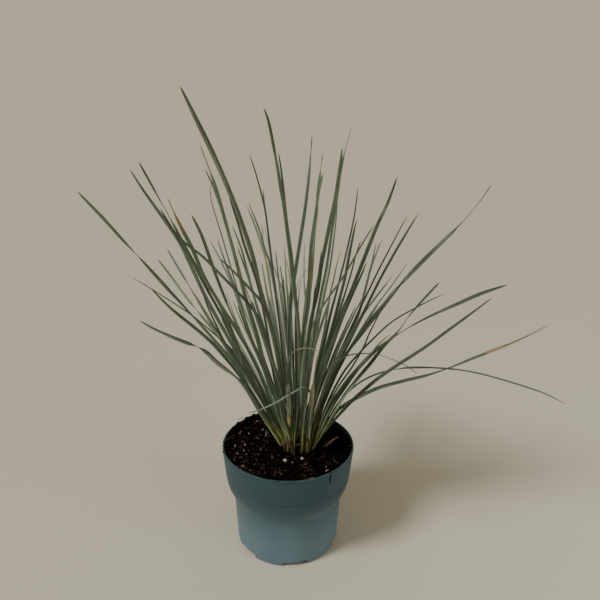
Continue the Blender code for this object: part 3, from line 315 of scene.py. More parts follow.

# Stains on leaves, and painted light where the colour is PAINTED_LIGHT, on leaves shaded within the tuft.
LEAF_MARKS: dict[tuple[int, int], tuple[Mark, ...]] = {
    key: tuple(Mark(*row) for row in rows) for key, rows in {
        (6, 1): (((167, 197), (173, 209), MarkColour.RED, 5, 0.45, -0.6),
                 ((177, 219), (182.5, 230), MarkColour.ORANGE, 5, 0.95)),
        (9, 2): (((200, 144), (203, 152), MarkColour.BROWN, 4, 0.5),),
        (9, 3): (((226, 224), (234, 262), MarkColour.RUST, 8, 0.6),),
        (13, 1): (((247, 205), (249, 210), MarkColour.ORANGE, 5), ((264, 255), (270, 275), MarkColour.YELLOW, 6),
                 ((271, 280), (273, 300), MarkColour.BROWN, 6, 0.7), ((276, 319), (280, 340), MarkColour.GREY, 6)),
        (13, 2): (((248, 201), (251, 209), MarkColour.ORANGE, 5),),
        (14, 1): (((262, 224), (267, 262), MarkColour.RUST, 6, 0.8),),
        (18, 1): (((316.6, 209), (316.4, 212), MarkColour.RED, 4, 0.5, 0.8),
                 ((311.5, 256), (309.5, 286), MarkColour.OLIVE, 5, 0.85, 0.6)),
        (18, 2): (((313, 262), (310, 285), MarkColour.YELLOW, 6, 0.7),),
        (21, 2): (((342, 248), (338, 262), MarkColour.ORANGE, 5, 0.7), ((337, 266), (331, 292), MarkColour.BROWN, 6)),
        (22, 2): (((349.8, 278), (349.8, 283), MarkColour.BROWN, 4, 0.6),),
        (23, 2): (((361, 240), (360, 244), MarkColour.BROWN, 4, 0.6),),
        (24, 1): (((385, 208), (383, 214), MarkColour.PALE, 6, 0.7),),
        (26, 1): (((419, 213), (415, 219), MarkColour.ORANGE, 5, 0.4),
                 ((319, 409), (316, 420), MarkColour.RED, 5, 0.7), ((313, 430), (310, 442), MarkColour.RED, 5, 0.8)),
        (27, 1): (((492, 184), (488, 190), MarkColour.BROWN, 5, 0.4),),
        (31, 1): (((492.7, 297.6), (480, 307.5), MarkColour.BROWN, 6, 0.8),),
        (31, 2): (((391, 334), (381, 342), MarkColour.ORANGE, 5, 0.7),),
        (32, 1): (((549, 325), (506, 344.5), MarkColour.RUST, 5, 0.9),
                 ((501, 347), (490, 352), MarkColour.ORANGE, 5, 0.95)),
        (34, 1): (((309, 390), (313, 397), MarkColour.BROWN, 6, 0.3),
                 ((248, 413), (300, 390), MarkColour.PAINTED_LIGHT, 6, 0.4), ((290, 447), (304, 443), MarkColour.GREY, 7, 1)),
        (35, 1): (((289, 384), (289, 414), MarkColour.PAINTED_LIGHT, 5, 0.8),
                 ((289, 419), (289, 429), MarkColour.APRICOT, 3, 0.95, -0.3),
                 ((289.6, 433), (290, 446), MarkColour.ASH, 4, 0.8)),
        (35, 2): (((319, 352), (300, 348), MarkColour.DEAD, 5, 0.6),),
        (36, 1): (((318, 352), (313.5, 384), MarkColour.RUST, 6, 0.7),
                 ((313, 388), (309.5, 413), MarkColour.DEAD, 6, 0.95)),
        (37, 1): (((418, 374), (404, 364), MarkColour.BROWN, 5, 0.5),),
        (38, 2): (((306, 375), (302, 428), MarkColour.ASH, 6, 0.6),),
    }.items()
}


@dataclass(frozen=True)
class Habit:
    """How one leaf differs from the others."""

    wider: float = 1.0  # How much wider it is
    forward: float = 0.0  # How far it is moved toward the viewer, in metres
    kept: float = 0.006  # Length at its root that stays where it is
    blunt: float = 0.0  # Length of its blunt tip, or 0 for a pointed tip
    # Length from the tip in pixels of the reference view, and turn in degrees there, tip first
    twists: tuple[Pair, ...] = ()


HABITS: dict[tuple[int, int], Habit] = {
    (1, 1): Habit(wider=1.12, twists=((0, 35), (28, 55), (42, 44), (54, 44), (64, 88), (75, 36), (88, 28),
        (100, 40), (112, 68), (126, 48), (160, 30))),
    (2, 1): Habit(twists=((0, 15), (30, 30), (56, 44), (66, 52), (78, 70), (88, 85), (98, 62), (112, 40),
        (126, 36), (138, 42), (150, 58), (172, 70), (188, 50), (230, 30))),
    (3, 1): Habit(wider=1.25, twists=((0, 20), (30, 30), (42, 45), (54, 62), (64, 85), (76, 45),
        (120, 30))),
    (3, 2): Habit(wider=1.25, twists=((0, 20), (28, 48), (42, 80), (54, 70), (66, 45), (90, 30))),
    (5, 1): Habit(twists=((0, 40), (16, 60), (28, 66), (40, 76), (54, 87), (66, 82), (78, 66), (100, 60),
        (160, 55), (205, 45), (250, 30))),
    (6, 1): Habit(twists=((0, 72), (16, 76), (26, 58), (40, 42), (64, 44), (90, 54), (124, 52), (160, 42),
        (220, 30))),
    (6, 2): Habit(wider=1.22, twists=((0, 15), (40, 25), (76, 45), (90, 50), (101, 70), (115, 70),
        (130, 35))),
    (8, 1): Habit(wider=1.15),
    (8, 2): Habit(wider=1.1),
    (9, 2): Habit(wider=1.06, twists=((0, 60), (16, 76), (28, 76), (42, 52), (76, 50), (100, 56),
        (112, 56), (126, 52), (138, 46), (180, 35), (230, 25))),
    (9, 3): Habit(wider=1.15),
    (10, 1): Habit(wider=0.93),
    (13, 1): Habit(wider=1.1, twists=((0, 20), (30, 40), (52, 68), (70, 50))),
    (15, 1): Habit(twists=((0, 20), (40, 45), (52, 64), (64, 58), (80, 42), (100, 52), (148, 50),
        (175, 30))),
    (16, 1): Habit(wider=1.08, twists=((0, 60), (16, 76), (28, 70), (42, 52), (66, 44), (100, 38),
        (130, 36), (160, 30))),
    (18, 1): Habit(wider=1.06, twists=((0, 60), (15, 82), (28, 58), (40, 54), (52, 66), (64, 46), (88, 40),
        (124, 46), (150, 40))),
    (18, 2): Habit(wider=1.22),
    (20, 1): Habit(wider=0.8),
    (20, 2): Habit(wider=0.92, twists=((0, 78), (26, 82), (38, 42), (76, 42), (110, 50), (160, 55),
        (200, 40), (290, 40))),
    (24, 1): Habit(twists=((0, 45), (40, 55), (80, 45), (120, 45), (150, 52), (180, 50), (248, 30))),
    (25, 2): Habit(wider=1.25),
    (27, 1): Habit(wider=1.1, twists=((0, 64), (16, 80), (28, 86), (42, 86), (53, 78), (64, 62), (76, 52),
        (88, 44), (100, 38), (112, 40), (124, 50), (136, 70), (150, 48), (184, 25), (200, 30), (220, 60),
        (236, 30))),
    (29, 1): Habit(twists=((0, 15), (14, 35), (28, 56), (40, 72), (52, 83), (63, 76), (76, 50), (110, 35))),
    (30, 2): Habit(wider=1.15, twists=((0, 20), (16, 20), (28, 24), (52, 38), (64, 48), (76, 60), (88, 68),
        (100, 74), (112, 84), (127, 78), (140, 50), (160, 35))),
    (31, 1): Habit(twists=((0, 58), (16, 62), (40, 60), (64, 54), (88, 52), (112, 44), (150, 40))),
    (32, 1): Habit(wider=1.06, twists=((0, 72), (40, 70), (52, 58), (64, 48), (76, 52), (88, 58),
        (100, 70), (112, 76), (124, 68), (136, 52), (148, 44), (184, 38), (220, 30))),
    (33, 1): Habit(wider=1.08, twists=((0, 66), (52, 60), (64, 64), (110, 68), (124, 60), (136, 66),
        (160, 52), (176, 78), (200, 60))),
    (34, 1): Habit(forward=0.016, kept=0.038),
    (35, 1): Habit(blunt=0.007),
    (35, 2): Habit(forward=0.006),
    (36, 1): Habit(wider=1.7, forward=0.01, twists=((0, 78), (32, 74), (40, 40), (50, 10))),
    (37, 1): Habit(twists=((0, 60), (16, 72), (40, 82), (60, 70), (100, 55))),
}


def smooth(share: float) -> float:
    """A share limited to 0 to 1 and eased at both ends."""
    share = min(1.0, max(0.0, share))
    return share * share * (3.0 - 2.0 * share)


def mixed(one: Sequence[float], other: Sequence[float], share: float) -> Colour:
    """The colour a share of the way from one colour to another."""
    return tuple(a + (b - a) * share for a, b in zip(one, other))


@dataclass(frozen=True)
class View:
    """The reference view, in which the leaves were traced."""

    # Where the viewer's eye is
    eye: Vector = field(default_factory=lambda: Vector((0.01016, -0.47702, 0.40798)))
    pitch: float = radians(16.3)  # How far the view looks down, in radians
    roll: float = radians(0.886)  # How far it leans, in radians
    focal: float = 508.93  # Focal length in pixels
    centre: float = 300.0  # Row and column of the middle of the frame

    def axes(self) -> tuple[Vector, Vector, Vector]:
        """Unit vectors forward, right and up in the view.

        Returns:
            The three vectors.
        """
        forward = Vector((0.0, cos(self.pitch), -sin(self.pitch)))
        level = Vector((1.0, 0.0, 0.0))
        upward = Vector((0.0, sin(self.pitch), cos(self.pitch)))
        right = cos(self.roll) * level + sin(self.roll) * upward
        up = cos(self.roll) * upward - sin(self.roll) * level
        return forward, right, up

    def sight(self, u: float, v: float) -> Vector:
        """Direction of the sight line through pixel (u, v)."""
        forward, right, up = self.axes()
        return forward + right * ((u - self.centre) / self.focal) + up * ((self.centre - v) / self.focal)

    def at_depth(self, u: float, v: float, depth: float) -> Vector:
        """Point of the sight line through pixel (u, v) where y is depth."""
        ray = self.sight(u, v)
        return self.eye + ray * ((depth - self.eye.y) / ray.y)

    def at_height(self, u: float, v: float, height: float) -> Vector:
        """Point of the sight line through pixel (u, v) where z is height."""
        ray = self.sight(u, v)
        return self.eye + ray * ((height - self.eye.z) / ray.z)

    def pixel_of(self, point: Vector) -> Pixel:
        """Pixel that shows a point.

        Args:
            point: A point of the scene.

        Returns:
            Its column and row.
        """
        forward, right, up = self.axes()
        ray = point - self.eye
        ahead = ray.dot(forward)
        return (self.centre + self.focal * ray.dot(right) / ahead,
                self.centre - self.focal * ray.dot(up) / ahead)


VIEW = View()


def added(name: str, data: bpy.types.ID) -> Piece:
    """A new object of the scene that shows some data.

    Args:
        name: Its name.
        data: The mesh, light or camera to show.

    Returns:
        The object.
    """
    piece = bpy.data.objects.new(name, data)
    bpy.context.scene.collection.objects.link(piece)
    return piece


def around(radius: float, angle: float) -> Pair:
    """Where a radius and an angle round the pot's axis lead, as x and y."""
    return radius * cos(angle), radius * sin(angle)


def scaled(colour: Colour, gain: float) -> Colour:
    """A colour made lighter or darker."""
    return tuple(channel * gain for channel in colour)


@dataclass
class Shape:
    """Points, faces and per-point values of one piece's mesh in the making."""

    points: list[Vector] = field(default_factory=list)  # The points so far
    faces: list[tuple[int, ...]] = field(default_factory=list)  # The faces, as indices of points
    tints: list[Colour] = field(default_factory=list)  # Colour of each point
    # Place across the piece from -1 to 1, length along it in metres, and waxy bloom or wetness of each
    # point
    values: list[Triple] = field(default_factory=list)

    def point(self, place: Vector, tint: Colour, across: float = 0.0, along: float = 0.0,
              bloom: float = 0.0) -> int:
        """Add a point.

        Args:
            place: Where it is.
            tint: Its colour.
            across: Place across the piece.
            along: Length along it.
            bloom: Waxy bloom or wetness.

        Returns:
            The point's index.
        """
        self.points.append(place)
        self.tints.append(tint)
        self.values.append((across, along, bloom))
        return len(self.points) - 1

    def skin(self, rings: Sequence[Sequence[int]]) -> None:
        """Close a skin over rings of points, with a cap at each end.

        Args:
            rings: Indices of each ring's points, in order.
        """
        for low, high in zip(rings, rings[1:]):
            count = len(low)
            for i in range(count):
                j = (i + 1) % count
                self.faces.append((low[i], low[j], high[j], high[i]))
        self.faces.append(tuple(reversed(rings[0])))
        self.faces.append(tuple(rings[-1]))

    def tube(self, line: Line, radii: Sequence[float], tints: Sequence[Colour],
             sides: int, flat: float = 1.0) -> None:
        """Add a round or flattened tube along a line.

        Args:
            line: Points of its centre line.
            radii: Its radius at each of them.
            tints: Its colour at each of them.
            sides: Number of sides.
            flat: Thickness as a share of the width.
        """
        rings = []
        for i, (centre, gone) in enumerate(zip(line, lengths_along(line))):
            ahead = heading(line, i)
            side = ahead.cross(Vector((0.31, 0.17, 0.93))).normalized()
            over = side.cross(ahead)
            ring = []
            for k in range(sides):
                angle = 2.0 * pi * k / sides
                away = side * cos(angle) + over * (sin(angle) * flat)
                ring.append(self.point(centre + away * radii[i], tints[i], cos(angle), gone))
            rings.append(ring)
        self.skin(rings)

    def lump(self, centre: Vector, size: Vector, turn: Matrix, tint: Colour, seed: float,
             rough: float, coarse: bool = False) -> None:
        """Add a small irregular lump.

        Args:
            centre: Its middle.
            size: Its half sizes.
            turn: How it is turned.
            tint: Its colour.
            seed: Where in the noise its form is taken from.
            rough: How uneven it is.
            coarse: Whether few faces will do.
        """
        first = len(self.points)
        corners, faces = COARSE_BALL if coarse else BALL
        for corner in corners:
            uneven = 1.0 + rough * noise.noise(corner * 1.7 + Vector((seed, -seed, 0.5 * seed)))
            local = Vector((corner.x * size.x, corner.y * size.y, corner.z * size.z)) * uneven
            shade = 1.0 + 0.5 * noise.noise(corner * 2.3 + Vector((0.0, seed, seed)))
            self.point(centre + turn @ local, scaled(tint, shade), corner.x, 0.0, seed % 1.0)
        self.faces += [tuple(first + i for i in face) for face in faces]

    def object(self, name: str, finish: Finish) -> Piece:
        """Make the piece.

        Args:
            name: The piece's name.
            finish: Its material.

        Returns:
            The new object, linked to the scene.
        """
        mesh = bpy.data.meshes.new(name)
        mesh.from_pydata([tuple(point) for point in self.points], [], self.faces)
        tints = mesh.attributes.new("tint", "FLOAT_COLOR", "POINT")
        tints.data.foreach_set("color", np.array([(*tint, 1.0) for tint in self.tints], np.float32).ravel())
        for k, word in enumerate(VALUES):
            values = mesh.attributes.new(word, "FLOAT", "POINT")
            values.data.foreach_set("value", np.array([row[k] for row in self.values], np.float32))
        mesh.shade_smooth()
        mesh.update()
        mesh.materials.append(finish)
        return added(name, mesh)


def ball(divisions: int) -> tuple[list[Vector], list[tuple[int, ...]]]:
    """Points and faces of a ball of radius 1.

    Args:
        divisions: How often its faces are divided.

    Returns:
        The points, and the faces as indices of points.
    """
    shape = bmesh.new()
    bmesh.ops.create_icosphere(shape, subdivisions=divisions, radius=1.0)
    points = [vert.co.copy() for vert in shape.verts]
    faces = [tuple(vert.index for vert in face.verts) for face in shape.faces]
    shape.free()
    return points, faces


BALL = ball(2)
COARSE_BALL = ball(1)


def deliver(piece: Piece, slot: str, *nodes: str) -> None:
    """Fix a piece to the frame.

    Args:
        piece: The piece, in place.
        slot: The record's material slot of its finish; not used.
        *nodes: CAD nodes that it stands for.
    """
    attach(piece, BODY)
    if nodes:
        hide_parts(*nodes)
    LOG.info("%s: %d faces", piece.name, len(piece.data.polygons))


class Weave:
    """Nodes of one material, added one by one."""

    def __init__(self, name: str) -> None:
        """Start a material.

        Args:
            name: The material's name.
        """
        self.material = bpy.data.materials.new(name)
        self.material.use_nodes = True
        self.tree = self.material.node_tree
        self.shader = self.tree.nodes["Principled BSDF"]

    def node(self, kind: str, **inputs: object) -> bpy.types.Node:
        """Add a node.

        Args:
            kind: The node's type.
            **inputs: Values or sockets of its inputs.

        Returns:
            The node.
        """
        made = self.tree.nodes.new(kind)
        for word, value in inputs.items():
            self.plug(made.inputs[word.replace("_", " ")], value)
        return made

    def plug(self, socket: Socket, value: object) -> None:
        """Link a socket to an input, or set the input's own value.

        Args:
            socket: The input.
            value: A socket, or a plain value.
        """
        if isinstance(value, Socket):
            self.tree.links.new(value, socket)
        else:
            socket.default_value = value

    def attribute(self, word: str, output: str = "Fac") -> Socket:
        """A value of the mesh.

        Args:
            word: Name of the value.
            output: Which output of the node to take.

        Returns:
            That output.
        """
        made = self.tree.nodes.new("ShaderNodeAttribute")
        made.attribute_name = word
        return made.outputs[output]

    def math(self, kind: str, *values: object) -> Socket:
        """The result of a sum, product or other operation on numbers.

        Args:
            kind: Name of the operation.
            *values: What it works on.

        Returns:
            The result's socket.
        """
        made = self.tree.nodes.new("ShaderNodeMath")
        made.operation = kind
        for socket, value in zip(made.inputs, values):
            self.plug(socket, value)
        return made.outputs[0]

    def ramp(self, value: object, low: float, high: float, start: float = 0.0,
             end: float = 1.0) -> Socket:
        """A value eased from start to end as it goes from low to high.

        Args:
            value: What is eased.
            low: Where it leaves start.
            high: Where it reaches end.
            start: Result at low and under.
            end: Result at high and over.

        Returns:
            The result's socket.
        """
        made = self.tree.nodes.new("ShaderNodeMapRange")
        made.interpolation_type = "SMOOTHSTEP"
        for socket, number in zip(made.inputs, (value, low, high, start, end)):
            self.plug(socket, number)
        return made.outputs[0]

    def mix(self, share: object, one: object, other: object, kind: str = "MIX") -> Socket:
        """Two colours blended.

        Args:
            share: Share of the other colour.
            one: One colour.
            other: The other colour.
            kind: How they blend.

        Returns:
            The result's socket.
        """
        made = self.tree.nodes.new("ShaderNodeMix")
        made.data_type = "RGBA"
        made.blend_type = kind
        for socket, value in ((made.inputs[0], share), (made.inputs[6], one), (made.inputs[7], other)):
            self.plug(socket, (*value, 1.0) if isinstance(value, tuple) and len(value) == 3 else value)
        return made.outputs[2]

    def place(self) -> Socket:
        """Places on the piece, in metres."""
        return self.tree.nodes.new("ShaderNodeTexCoord").outputs["Object"]

    def cloud(self, where: Socket, scale: float, detail: float = 3.0,
              stretch: Triple = (1.0, 1.0, 1.0)) -> Socket:
        """Soft noise from 0 to 1, stretched along an axis where stretch is less than 1.

        Args:
            where: Place at which it is read.
            scale: Spots per metre.
            detail: How many finer layers it has.
            stretch: Scale along each axis.

        Returns:
            The noise's socket.
        """
        shift = self.node("ShaderNodeMapping", Vector=where, Scale=stretch)
        made = self.node("ShaderNodeTexNoise", Vector=shift.outputs[0], Scale=scale, Detail=detail)
        return made.outputs[0]

    def bump(self, height: Socket, depth: float,
             strength: float = 0.6) -> Socket:
        """Surface relief from a height, depth in metres."""
        made = self.node("ShaderNodeBump", Strength=strength, Distance=depth, Height=height)
        return made.outputs[0]

    def finish(self, colour: object, roughness: object, normal: object = None,
               **fixed: float) -> Finish:
        """Finish the material.

        Args:
            colour: The base colour.
            roughness: The roughness.
            normal: The relief, where there is one.
            **fixed: Values that are the same all over.

        Returns:
            The finished material.
        """
        self.plug(self.shader.inputs["Base Color"], colour)
        self.plug(self.shader.inputs["Roughness"], roughness)
        if normal is not None:
            self.plug(self.shader.inputs["Normal"], normal)
        for word, value in fixed.items():
            self.shader.inputs[word.replace("_", " ")].default_value = value
        return self.material


@dataclass(frozen=True)
class LeafFinish:
    """Blue-green leaf: raised ribs and thin edges painted pale, partly their own colour and partly a
    painted highlight, streaks, and a waxy bloom.
    """

    ribs: float = 4.0  # Ribs across a leaf
    edge: Colour = (0.225, 0.272, 0.19)  # Colour of the pale ribs and thin edges, partly their own and partly a painted highlight
    wax: Colour = (0.098, 0.14, 0.104)  # Colour of the bloom
    wax_share: float = 0.3  # How much bloom there is at most
    rib_depth: float = 0.0001  # Height of the ribs in metres

    def material(self) -> Finish:
        """The leaf material.

        Returns:
            The material.
        """
        weave = Weave("leaf_glaucous")
        across, along, bloom = (weave.attribute(word) for word in VALUES)
        tint = weave.attribute("tint", "Color")
        wave = weave.math("SINE", weave.math("MULTIPLY", across, self.ribs * pi))
        rib = weave.ramp(wave, -0.6, 0.9)
        outer = weave.math("ABSOLUTE", across)
        edge = weave.ramp(outer, 0.7, 1.0)
        strip = weave.node("ShaderNodeCombineXYZ", X=across, Y=along, Z=bloom)
        streak = weave.cloud(strip.outputs[0], 3.0, 4.0, (1.6, 9.0, 4.0))
        blotch = weave.cloud(weave.place(), 55.0, 3.0)
        shade = weave.mix(weave.ramp(streak, 0.3, 0.7), (0.58, 0.6, 0.58), (1.38, 1.38, 1.36))
        colour = weave.mix(1.0, tint, shade, "MULTIPLY")
        raised = weave.math("MULTIPLY", rib, weave.ramp(bloom, 0.0, 0.9, 0.04, 0.18))
        # Pale ribs: partly their own colour and partly a painted highlight.
        colour = weave.mix(raised, colour, self.edge)
        wax = weave.math("MULTIPLY", weave.ramp(blotch, 0.35, 0.72), bloom)
        colour = weave.mix(weave.math("MULTIPLY", wax, self.wax_share), colour, self.wax)
        # Pale thin edges: partly their own colour and partly a painted highlight.
        rim = weave.math("MULTIPLY", edge, weave.math("MULTIPLY", bloom, 0.72))
        colour = weave.mix(rim, colour, self.edge)
        roughness = weave.ramp(streak, 0.2, 0.8, 0.36, 0.55)
        relief = weave.bump(weave.math("ADD", rib, weave.math("MULTIPLY", streak, 0.5)), self.rib_depth)
        return weave.finish(colour, roughness, relief, Specular_IOR_Level=0.4)


@dataclass(frozen=True)
class PlasticFinish:
    """Blue-grey moulded plastic: satin, painted lighter low down and under the shoulder as painted light,
    with a dark line of painted shade in the groove, faint scuffs and soil at the rim.
    """

    plain: Colour = (0.031, 0.057, 0.071)  # Colour of the clean plastic
    scuff_and_painted_light: Colour = (0.093, 0.146, 0.174)  # Paler colour of the painted light low down and under the shoulder, also used for the scuffs
    soil: Colour = (0.012, 0.008, 0.006)  # Colour of the soil dust, also used for the painted shade in the groove
    painted_light_full: float = 0.012  # Height under which the painted light is full
    painted_light_none: float = 0.092  # Height over which there is none
    rim: float = 0.1085  # Height over which soil dust clings
    groove: float = 0.0813  # Height of the groove, along which a dark line of painted shade lies
    # Heights between which the painted light comes, is full, and goes under the shoulder, evening out its
    # shade
    hollow_painted_light: tuple[float, ...] = (0.052, 0.06, 0.0635, 0.0735)
    painted_shading_share: float = 0.22  # Share of the painted light there, and of the painted shade in the groove

    def material(self) -> Finish:
        """The plastic material.

        Returns:
            The material.
        """
        weave = Weave("pot_moulded_plastic")
        where = weave.place()
        height = weave.node("ShaderNodeSeparateXYZ", Vector=where).outputs[2]
        cloud = weave.cloud(where, 28.0, 4.0)
        runs = weave.cloud(where, 60.0, 3.0, (1.0, 1.0, 0.12))
        scuffs = weave.cloud(where, 140.0, 5.0, (1.0, 1.0, 4.0))
        # Painted light: the plastic is painted paler low down, standing in for light from the floor, and in
        # faint vertical runs of the same paler colour.
        low = weave.ramp(height, self.painted_light_none, self.painted_light_full)
        scuff_and_painted_light = weave.math("MULTIPLY", low, weave.ramp(cloud, 0.15, 0.75, 0.8, 1.0))
        scuff_and_painted_light = weave.math("ADD", scuff_and_painted_light, weave.ramp(runs, 0.55, 0.85, 0.0, 0.08))
        # Painted light under the shoulder, evening out its shade.
        none_under, full_from, full_to, none_over = self.hollow_painted_light
        hollow_painted_light = weave.math("MULTIPLY", weave.ramp(height, none_under, full_from),
                            weave.ramp(height, none_over, full_to))
        scuff_and_painted_light = weave.math("ADD", scuff_and_painted_light, weave.math("MULTIPLY", hollow_painted_light, self.painted_shading_share))
        colour = weave.mix(scuff_and_painted_light, self.plain, self.scuff_and_painted_light)
        colour = weave.mix(weave.ramp(scuffs, 0.66, 0.78, 0.0, 0.2), colour, self.scuff_and_painted_light)
        specks = weave.math("MULTIPLY", weave.ramp(scuffs, 0.5, 0.62),
                            weave.ramp(height, self.rim, self.rim + 0.0032))
        colour = weave.mix(weave.math("MULTIPLY", specks, 0.6), colour, self.soil)
        # Painted shade: a dark line along the groove, in the soil dust colour.
        away = weave.math("ABSOLUTE", weave.math("SUBTRACT", height, self.groove))
        colour = weave.mix(weave.ramp(away, 0.0014, 0.0003, 0.0, self.painted_shading_share), colour, self.soil)
        roughness = weave.math("ADD", weave.ramp(cloud, 0.2, 0.8, 0.4, 0.5),
                               weave.math("MULTIPLY", scuff_and_painted_light, 0.05))
        grain = weave.node("ShaderNodeTexNoise", Vector=where, Scale=900.0, Detail=2.0).outputs[0]
        relief = weave.bump(grain, 0.00003, 0.2)
        return weave.finish(colour, roughness, relief, Specular_IOR_Level=0.14)


@dataclass(frozen=True)
class PeatFinish:
    """Moist peat, nearly black, with reddish bits and wet glints."""

    dark: Colour = (0.001, 0.0008, 0.0006)  # Colour of wet peat
    light: Colour = (0.0044, 0.003, 0.0024)  # Colour of drier crumbs
    red: Colour = (0.03, 0.013, 0.009)  # Colour of bark bits

    def material(self) -> Finish:
        """The peat material of the soil plug.

        Returns:
            The material.
        """
        weave = Weave("soil_peat")
        where = weave.place()
        coarse = weave.cloud(where, 160.0, 5.0)
        fine = weave.cloud(where, 620.0, 4.0)
        colour = weave.mix(weave.ramp(coarse, 0.42, 0.72), self.dark, self.light)
        colour = weave.mix(weave.ramp(fine, 0.64, 0.74, 0.0, 0.5), colour, self.red)
        roughness = weave.ramp(fine, 0.3, 0.7, 0.95, 0.62)
        relief = weave.bump(weave.math("ADD", coarse, weave.math("MULTIPLY", fine, 0.5)), 0.0012, 0.9)
        return weave.finish(colour, roughness, relief, Specular_IOR_Level=0.02)


@dataclass(frozen=True)
class CrumbFinish:
    """Crumbs, bark chips, granules and fibres: each bit's own tint, broken by grain."""

    name: str  # The material's name
    grain: float = 700.0  # Grain per metre
    wet: float = 0.5  # Roughness of the wettest spots
    gloss: float = 0.03  # How strongly they reflect

    def material(self) -> Finish:
        """The material of the bits.

        Returns:
            The material.
        """
        weave = Weave(self.name)
        grain = weave.cloud(weave.place(), self.grain, 4.0)
        shade = weave.mix(weave.ramp(grain, 0.3, 0.7), (0.45, 0.42, 0.4), (1.5, 1.45, 1.4))
        colour = weave.mix(1.0, weave.attribute("tint", "Color"), shade, "MULTIPLY")
        roughness = weave.ramp(grain, 0.35, 0.65, self.wet, 0.92)
        relief = weave.bump(grain, 0.0004, 0.8)
        return weave.finish(colour, roughness, relief, Specular_IOR_Level=self.gloss)


@dataclass(frozen=True)
class FloorFinish:
    """Plain pale floor with a faint mottle."""

    pale: Colour = (0.412, 0.391, 0.33)
    mottle: Colour = (0.388, 0.369, 0.31)

    def material(self) -> Finish:
        """The floor material.

        Returns:
            The material.
        """
        weave = Weave("floor_pale")
        cloud = weave.cloud(weave.place(), 3.0, 5.0)
        return weave.finish(weave.mix(cloud, self.pale, self.mottle), 0.9, Specular_IOR_Level=0.0)


def curved(a: Vector, b: Vector, c: Vector, d: Vector, t: float) -> Vector:
    """The value a share t of the way from b to c, on a smooth curve through four values."""
    return 0.5 * (2 * b + (c - a) * t + (2 * a - 5 * b + 4 * c - d) * t * t
                  + (3 * b - a - 3 * c + d) * t * t * t)


def smooth_line(points: Line, count: int) -> list[Vector]:
    """A number of points at even lengths along a smooth curve through points.

    Args:
        points: Points that the curve passes.
        count: How many points to give.

    Returns:
        The points.
    """
    ends = [2 * points[0] - points[1]] + list(points) + [2 * points[-1] - points[-2]]
    fine = [curved(*four, i / 8.0) for four in zip(ends, ends[1:], ends[2:], ends[3:]) for i in range(8)]
    return even(fine + [points[-1].copy()], count)


def lengths_along(points: Line) -> list[float]:
    """Length of a line up to each of its points."""
    return [0.0, *accumulate((b - a).length for a, b in zip(points, points[1:]))]


def pixels_along(pixels: Sequence[Pixel]) -> list[float]:
    """Length of a line in the reference view up to each of its pixels."""
    return [0.0, *accumulate(dist(a, b) for a, b in zip(pixels, pixels[1:]))]


def heading(points: Line, i: int) -> Vector:
    """Direction of a line at one of its points."""
    return (points[min(i + 1, len(points) - 1)] - points[max(i - 1, 0)]).normalized()


def point_at(points: Line, lengths: Sequence[float], length: float) -> Vector:
    """Point of a line at a length from its start, with its lengths along."""
    k = min(max(bisect_left(lengths, length) - 1, 0), len(points) - 2)
    return points[k].lerp(points[k + 1], (length - lengths[k]) / max(lengths[k + 1] - lengths[k], 1e-9))


def even(points: Line, count: int) -> list[Vector]:
    """A line resampled at a number of even lengths, both ends among them."""
    lengths = lengths_along(points)
    return [point_at(points, lengths, lengths[-1] * i / (count - 1)) for i in range(count)]


def between(values: Line, share: float) -> Vector:
    """A smooth value between evenly spaced ones, at a share of the way from the first to the last.

    Args:
        values: The vectors.
        share: Share of the way.

    Returns:
        The vector there.
    """
    x = share * (len(values) - 1)
    k = min(int(x), len(values) - 2)
    last = len(values) - 1
    return curved(values[max(k - 1, 0)], values[k], values[k + 1], values[min(k + 2, last)], x - k)


def width_share(s: float) -> float:
    """Width of a leaf along its length from 0 to 1, as a share of its full width.

    Args:
        s: Share of the length, from the root.

    Returns:
        Share of the full width.
    """
    if s < 0.35:
        return 0.62 + 0.38 * smooth(s / 0.35)
    if s < 0.55:
        return 1.0
    return max(0.05, 1.0 - ((s - 0.55) / 0.45) ** 1.7)


def blade_share(s: float, left: float, width: float) -> float:
    """Width of a finer leaf along its length, as a share of its full width.

    Args:
        s: Place along the leaf, from 0 at the root to 1 at the tip.
        left: Length from there to the tip.
        width: Full width of the leaf.

    Returns:
        The share, with a long slight taper and a sharp tip.
    """
    broad = smooth((width - 0.0018) / 0.0024)
    taper = 1.0 - (0.3 - 0.18 * broad) * max(0.0, (s - 0.6) / 0.4) ** 1.3
    stub = 0.56 - 0.22 * broad
    point = stub * (1.0 - max(0.0, 1.0 - left / 0.006) ** 2)
    slope = (1.0 - stub) * (1.0 - max(0.0, 1.0 - left / 0.05) ** 2.2)
    return max(0.03, (0.62 + 0.38 * smooth(s / 0.35)) * taper * (point + slope))


def turn_at(knots: Sequence[Pair], place: float) -> float:
    """Turn of a leaf in radians at a place, between knots of a place and a turn in degrees each.

    Args:
        knots: Places and turns, in order.
        place: The place.

    Returns:
        The turn there.
    """
    for (before, one), (after, other) in zip(knots, knots[1:]):
        if place < after:
            return radians(one + (other - one) * smooth((place - before) / (after - before)))
    return radians(knots[-1][1])


def row_lengths(vectors: np.ndarray) -> np.ndarray:
    """Length of each row of an array of vectors."""
    return np.sqrt((vectors * vectors).sum(axis=1))


